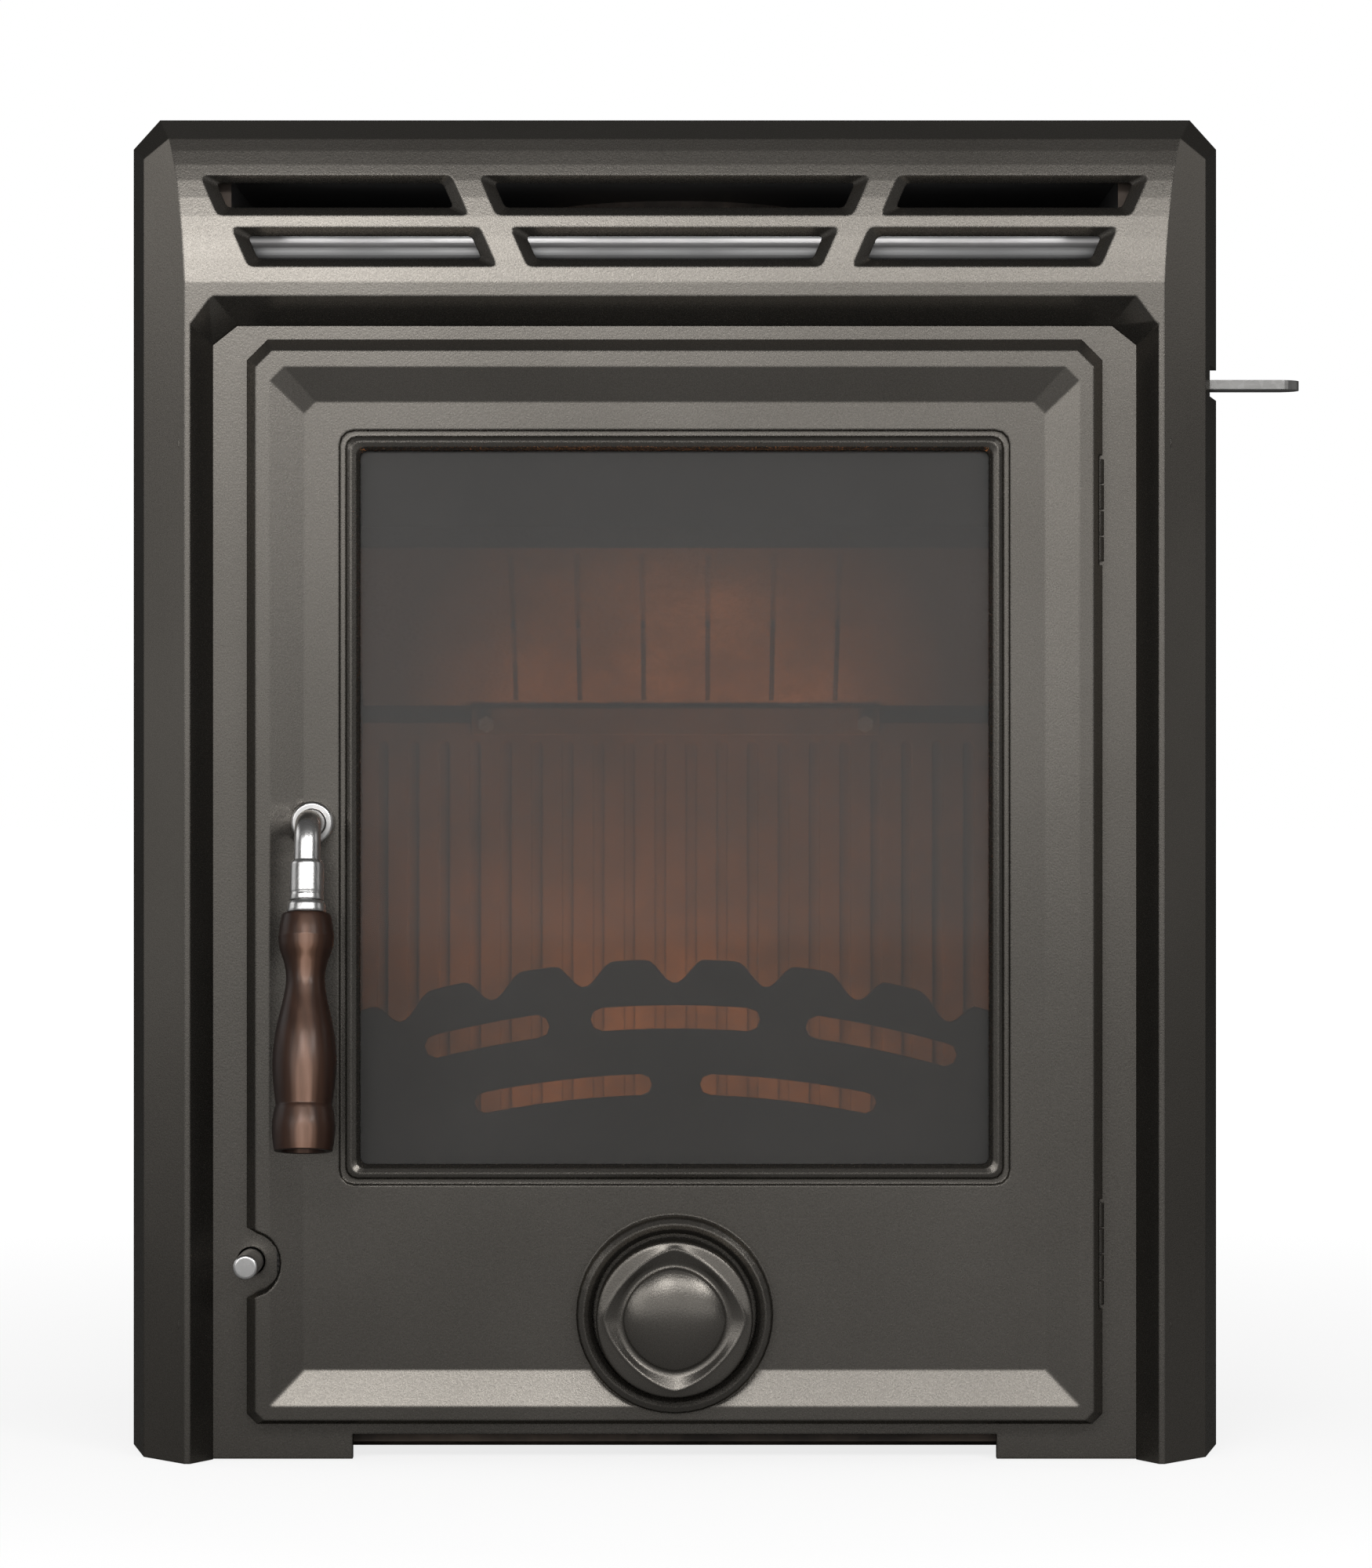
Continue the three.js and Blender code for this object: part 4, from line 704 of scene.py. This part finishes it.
# %% Collar, ferrule and rosette
RING_BORE = 5.95
COLLAR = [[RING_BORE, 0], [6.6, -0.1], [7.25, -1.6], [7.25, -13.4], [7.0, -14.2],
          [7.25, -15.0], [7.25, -17.3], [RING_BORE, -17.3], [RING_BORE, 0]]
FERRULE = [[RING_BORE, 0], [7.5, -0.05], [8.1, -1.5], [8.3, -4.0], [8.1, -5.0],
           [RING_BORE, -5.0], [RING_BORE, 0]]
ROSETTE = [[RING_BORE, -61], [9.3, -61], [9.3, -65.2], [8.3, -66.3], [RING_BORE, -66.3],
           [RING_BORE, -61]]


def ring_on_bar(name, profile, soften, start):
    """A softened ring whose profile starts start mm below the elbow."""
    return skin(name, on_bar(rounded(spun(profile), soften), start)[:-1], closed=True)


def rosette():
    """A softened ring round the straight part of the bar."""
    rings = rounded(spun(ROSETTE), 0.5)[:-1]
    return skin("handle_plate", rings + np.array([GRIP_X, 0, GRIP_Z]), closed=True)


fit(ring_on_bar("handle_sleeve", COLLAR, 0.5, COLLAR_FROM), "handle_collar", "handle")
fit(ring_on_bar("grip_ring", FERRULE, 0.35, COLLAR_FROM + COLLAR_LONG), "grip_ferrule", "handle")
fit(rosette(), "handle_rosette", "door")

# %% [markdown]
# The grip's outline is three smooth stretches that meet in crisp turning marks: shoulder, long
# swell and bead. Each stretch is a Catmull-Rom curve through a few measured radii.

# %% Wooden grip
SHOULDER = [[9.6, 0], [10.4, 0.8], [11.3, 5], [11.9, 10]]
SWELL = [[11.9, 10], [11.2, 15], [9.2, 21], [8.2, 27.3], [8.9, 34], [10.9, 43], [12.7, 52],
         [13.55, 62.6], [13.1, 72], [11.9, 81.4]]
BEAD = [[11.9, 81.4], [12.6, 84], [13.4, 90.5], [12.9, 97], [12.3, 101]]
END = [[9.4, 101], [8.8, 96.4], [3, 96], [3, 0], [9.6, 0]]


def smooth_through(points, steps=8):
    """Catmull-Rom: from p1 to p2 the curve leaves along (p2-p0)/2 and arrives along (p3-p1)/2."""
    p = np.asarray(points, float)
    p = np.concatenate([[2 * p[0] - p[1]], p, [2 * p[-1] - p[-2]]])
    t = np.linspace(0, 1, steps, endpoint=False)[None, :, None]
    p0, p1, p2, p3 = (p[i:len(p) - 3 + i, None] for i in range(4))
    curve = 0.5 * (2 * p1 + (p2 - p0) * t + (2 * p0 - 5 * p1 + 4 * p2 - p3) * t**2
                   + (3 * p1 - p0 - 3 * p2 + p3) * t**3)
    return np.concatenate([curve.reshape(-1, p.shape[1]), points[-1:]])


def grip():
    """The outline, whose lengths run down the bar, turned about Y and stood on the bar."""
    stretches = [smooth_through(SHOULDER)[:-1], smooth_through(SWELL)[:-1], smooth_through(BEAD)]
    outline = np.concatenate([*stretches, END]) * (1, -1)
    rings = on_bar(rounded(spun(outline, 80), 0.3, 3), GRIP_FROM)
    return skin("turned_grip", rings[:-1], closed=True)


fit(grip(), "wooden_grip", "handle")

# %% [markdown]
# ## The riddling rod
#
# A plain bright bar that is pulled to shake the grate; only its rounded end shows in the notch of
# the door. It is turned with the same helpers, because they soften its end in the same step.

# %% Riddling rod
ROD_X, ROD_Z = -183.5, 86
ROD = [[0.5, -81], [4.6, -81], [5.4, -80.1], [5.4, 62], [0.5, 62]]


def riddling_rod():
    """A profile of [radius, y] turned about the rod's axis, with a softened end."""
    rings = rounded(spun(ROD), 0.7)
    return skin("riddling_bar", rings + np.array([ROD_X, 0, ROD_Z]))


fit(riddling_rod(), "riddling_rod", "riddler")

# %% [markdown]
# ## The jacket's flanges
#
# A strip folded outwards along each front edge of the convection jacket closes the corner of the
# surround, so that no light comes through the outer ends of the slots: a dark sheet put there as
# painted shade behind the slot ends. Flat sheet needs only a stack of two rectangles, with flat
# shading.

# %% Jacket flanges
FLANGE_X = (192.5, 217.5)
FLANGE_Y = (-47.0, -45.5)
FLANGE_Z = (506.0, 558.0)


def shade_flange(side):
    """A thin sheet as a stack of two rectangles; side is -1 at the left and 1 at the right."""
    inner, outer = FLANGE_X
    low, high = FLANGE_Z
    x, z = np.array([inner, outer, outer, inner]) * side, np.array([low, low, high, high])
    rings = np.stack([np.stack([x, np.full(4, y), z], -1) for y in FLANGE_Y])
    piece = skin("jacket_shade_flange_" + ("right" if side > 0 else "left"), rings)
    piece.data.polygons.foreach_set("use_smooth", np.zeros(len(piece.data.polygons), bool))
    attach(piece, "stove")
    # A dark finish: this sheet stands as painted shade at the outer slot ends.
    piece.data.materials.append(FINISHES["inner_iron"])


shade_flange(-1)
shade_flange(1)

# %% [markdown]
# ## Studio
#
# A pale floor stands in a white room that only the camera and the glass see; on matt and
# mirroring surfaces the room is dim, so that the lamps shape the paint. High in front hang key
# lamps and long strips, with a broad panel level with the door, panels at both sides and one
# behind.

# %% Floor and surroundings
WHITE = (1, 1, 1, 1)
FLOOR_GREY = (0.34, 0.34, 0.34, 1)
FLOOR_HALF = 30.0
FLOOR_BELOW = 0.0002
ROOM_LIGHT = 0.18
ROOM_MIRRORED = 0.08


def floor():
    """A pale plane under the stove. For the camera it also shines, by 0.8 near the stove and by 1
    from 1.8 m on, so that it meets the white background."""
    material, tree, shader, place = finish("studio_floor")
    light_path = tree.nodes.new("ShaderNodeLightPath")
    away = vector_node(tree, "LENGTH", place).outputs["Value"]
    shine = ramp(tree, math_node(tree, "MULTIPLY", away, 0.25), [(0.08, 0.80), (0.45, 1.0)])
    lift = math_node(tree, "MULTIPLY", light_path.outputs["Is Camera Ray"], shine)
    plug(tree, shader, Base_Color=FLOOR_GREY, Roughness=0.9,
         Emission_Color=WHITE, Emission_Strength=lift)
    corners = [(x * FLOOR_HALF, y * FLOOR_HALF, 0) for x, y in ((-1, -1), (1, -1), (1, 1), (-1, 1))]
    mesh = bpy.data.meshes.new("studio_floor")
    mesh.from_pydata(corners, [], [(0, 1, 2, 3)])
    mesh.materials.append(material)
    plane = bpy.data.objects.new("studio_floor", mesh)
    plane.location.z = -FLOOR_BELOW
    bpy.context.scene.collection.objects.link(plane)


def surroundings():
    """World light: 1 for the camera and the glass, less on mirroring and on matt surfaces."""
    world = bpy.data.worlds.new("studio")
    bpy.context.scene.world = world
    world.use_nodes = True
    tree = world.node_tree
    ray = tree.nodes.new("ShaderNodeLightPath").outputs
    seen = math_node(tree, "MAXIMUM", ray["Is Camera Ray"], ray["Is Transmission Ray"])
    glossy = math_node(tree, "MULTIPLY", ray["Is Glossy Ray"], ROOM_MIRRORED)
    diffuse = math_node(tree, "MULTIPLY", ray["Is Diffuse Ray"], ROOM_LIGHT)
    strength = math_node(tree, "MAXIMUM", math_node(tree, "MAXIMUM", seen, glossy), diffuse)
    plug(tree, tree.nodes["Background"], Color=WHITE, Strength=strength)


floor()
surroundings()
bpy.context.scene.view_settings.view_transform = "Standard"

# %% [markdown]
# Each row below is a lamp: its name, its place, the point it faces, its size in metres, its
# power in watts and, where it isn't white, its colour. Light adds up, so pictures with one lamp
# at a time were weighed against the tones of the photograph, and the weights became the powers.
# Two tiny strips between the slot rows light the deflector, and a small warm lamp low in the
# chamber shows the lining through the tinted glass.

# %% Lamps


def area(name, at, towards, size, power, colour=(1, 1, 1)):
    """A rectangular lamp at one point, turned to face another."""
    data = bpy.data.lights.new(name, "AREA")
    data.shape = "RECTANGLE"
    data.size, data.size_y = size
    data.energy = power
    data.color = colour
    lamp = bpy.data.objects.new(name, data)
    lamp.location = at
    aim = np.asarray(towards, float) - np.asarray(at, float)
    yaw = math.atan2(aim[0], aim[1])
    pitch = math.atan2(aim[2], math.hypot(aim[0], aim[1]))
    lamp.rotation_euler = (math.radians(90) + pitch, 0, -yaw)
    bpy.context.scene.collection.objects.link(lamp)


DOOR_MIDDLE = (0, 0, 0.3)
WARM = (1.0, 0.36, 0.10)
LAMPS = [
    ("key_left", (-0.3, -1.6, 0.98), DOOR_MIDDLE, (0.5, 0.2), 3.6),
    ("key_middle", (0.3, -1.6, 0.98), DOOR_MIDDLE, (0.5, 0.2), 1.8),
    ("key_right", (0.9, -1.45, 0.98), DOOR_MIDDLE, (0.5, 0.2), 4.8),
    ("low_left", (-0.5, -1.8, 0.85), DOOR_MIDDLE, (0.9, 0.15), 2.0),
    ("low_right", (0.5, -1.8, 0.85), DOOR_MIDDLE, (0.9, 0.15), 1.0),
    ("high_strip", (0, -1.9, 1.02), DOOR_MIDDLE, (4.4, 0.12), 3.8),
    ("front_panel", (0, -2.5, 0.4), DOOR_MIDDLE, (4.4, 0.5), 8.0),
    ("left_panel", (-1.45, -1.7, 0.8), DOOR_MIDDLE, (0.9, 0.8), 4.2),
    ("left_side_panel", (-2.0, 0.2, 0.95), DOOR_MIDDLE, (1.2, 0.6), 2.6),
    ("right_side_panel", (2.0, 0.2, 0.95), DOOR_MIDDLE, (1.2, 0.6), 1.7),
    ("left_low_panel", (-2.0, 0.2, 0.3), DOOR_MIDDLE, (1.2, 0.5), 1.0),
    ("right_low_panel", (2.0, 0.2, 0.3), DOOR_MIDDLE, (1.2, 0.5), 0.5),
    ("lower_slot_glow", (0, -0.0475, 0.5370), (0, -0.0370, 0.5285), (0.38, 0.004), 0.005),
    ("upper_slot_glow", (0, -0.0470, 0.5380), (0, 0.0, 0.550), (0.34, 0.004), 0.02),
    ("back_panel", (0, 1.7, 1.6), (0, 0, 0.5), (2.4, 0.6), 0.6),
    ("fire_bed", (0, 0.05, 0.135), (0, 0.45, 0.535), (0.20, 0.10), 1.8, WARM),
]
for lamp in LAMPS:
    area(*lamp)
print(len(LAMPS), "lamps")
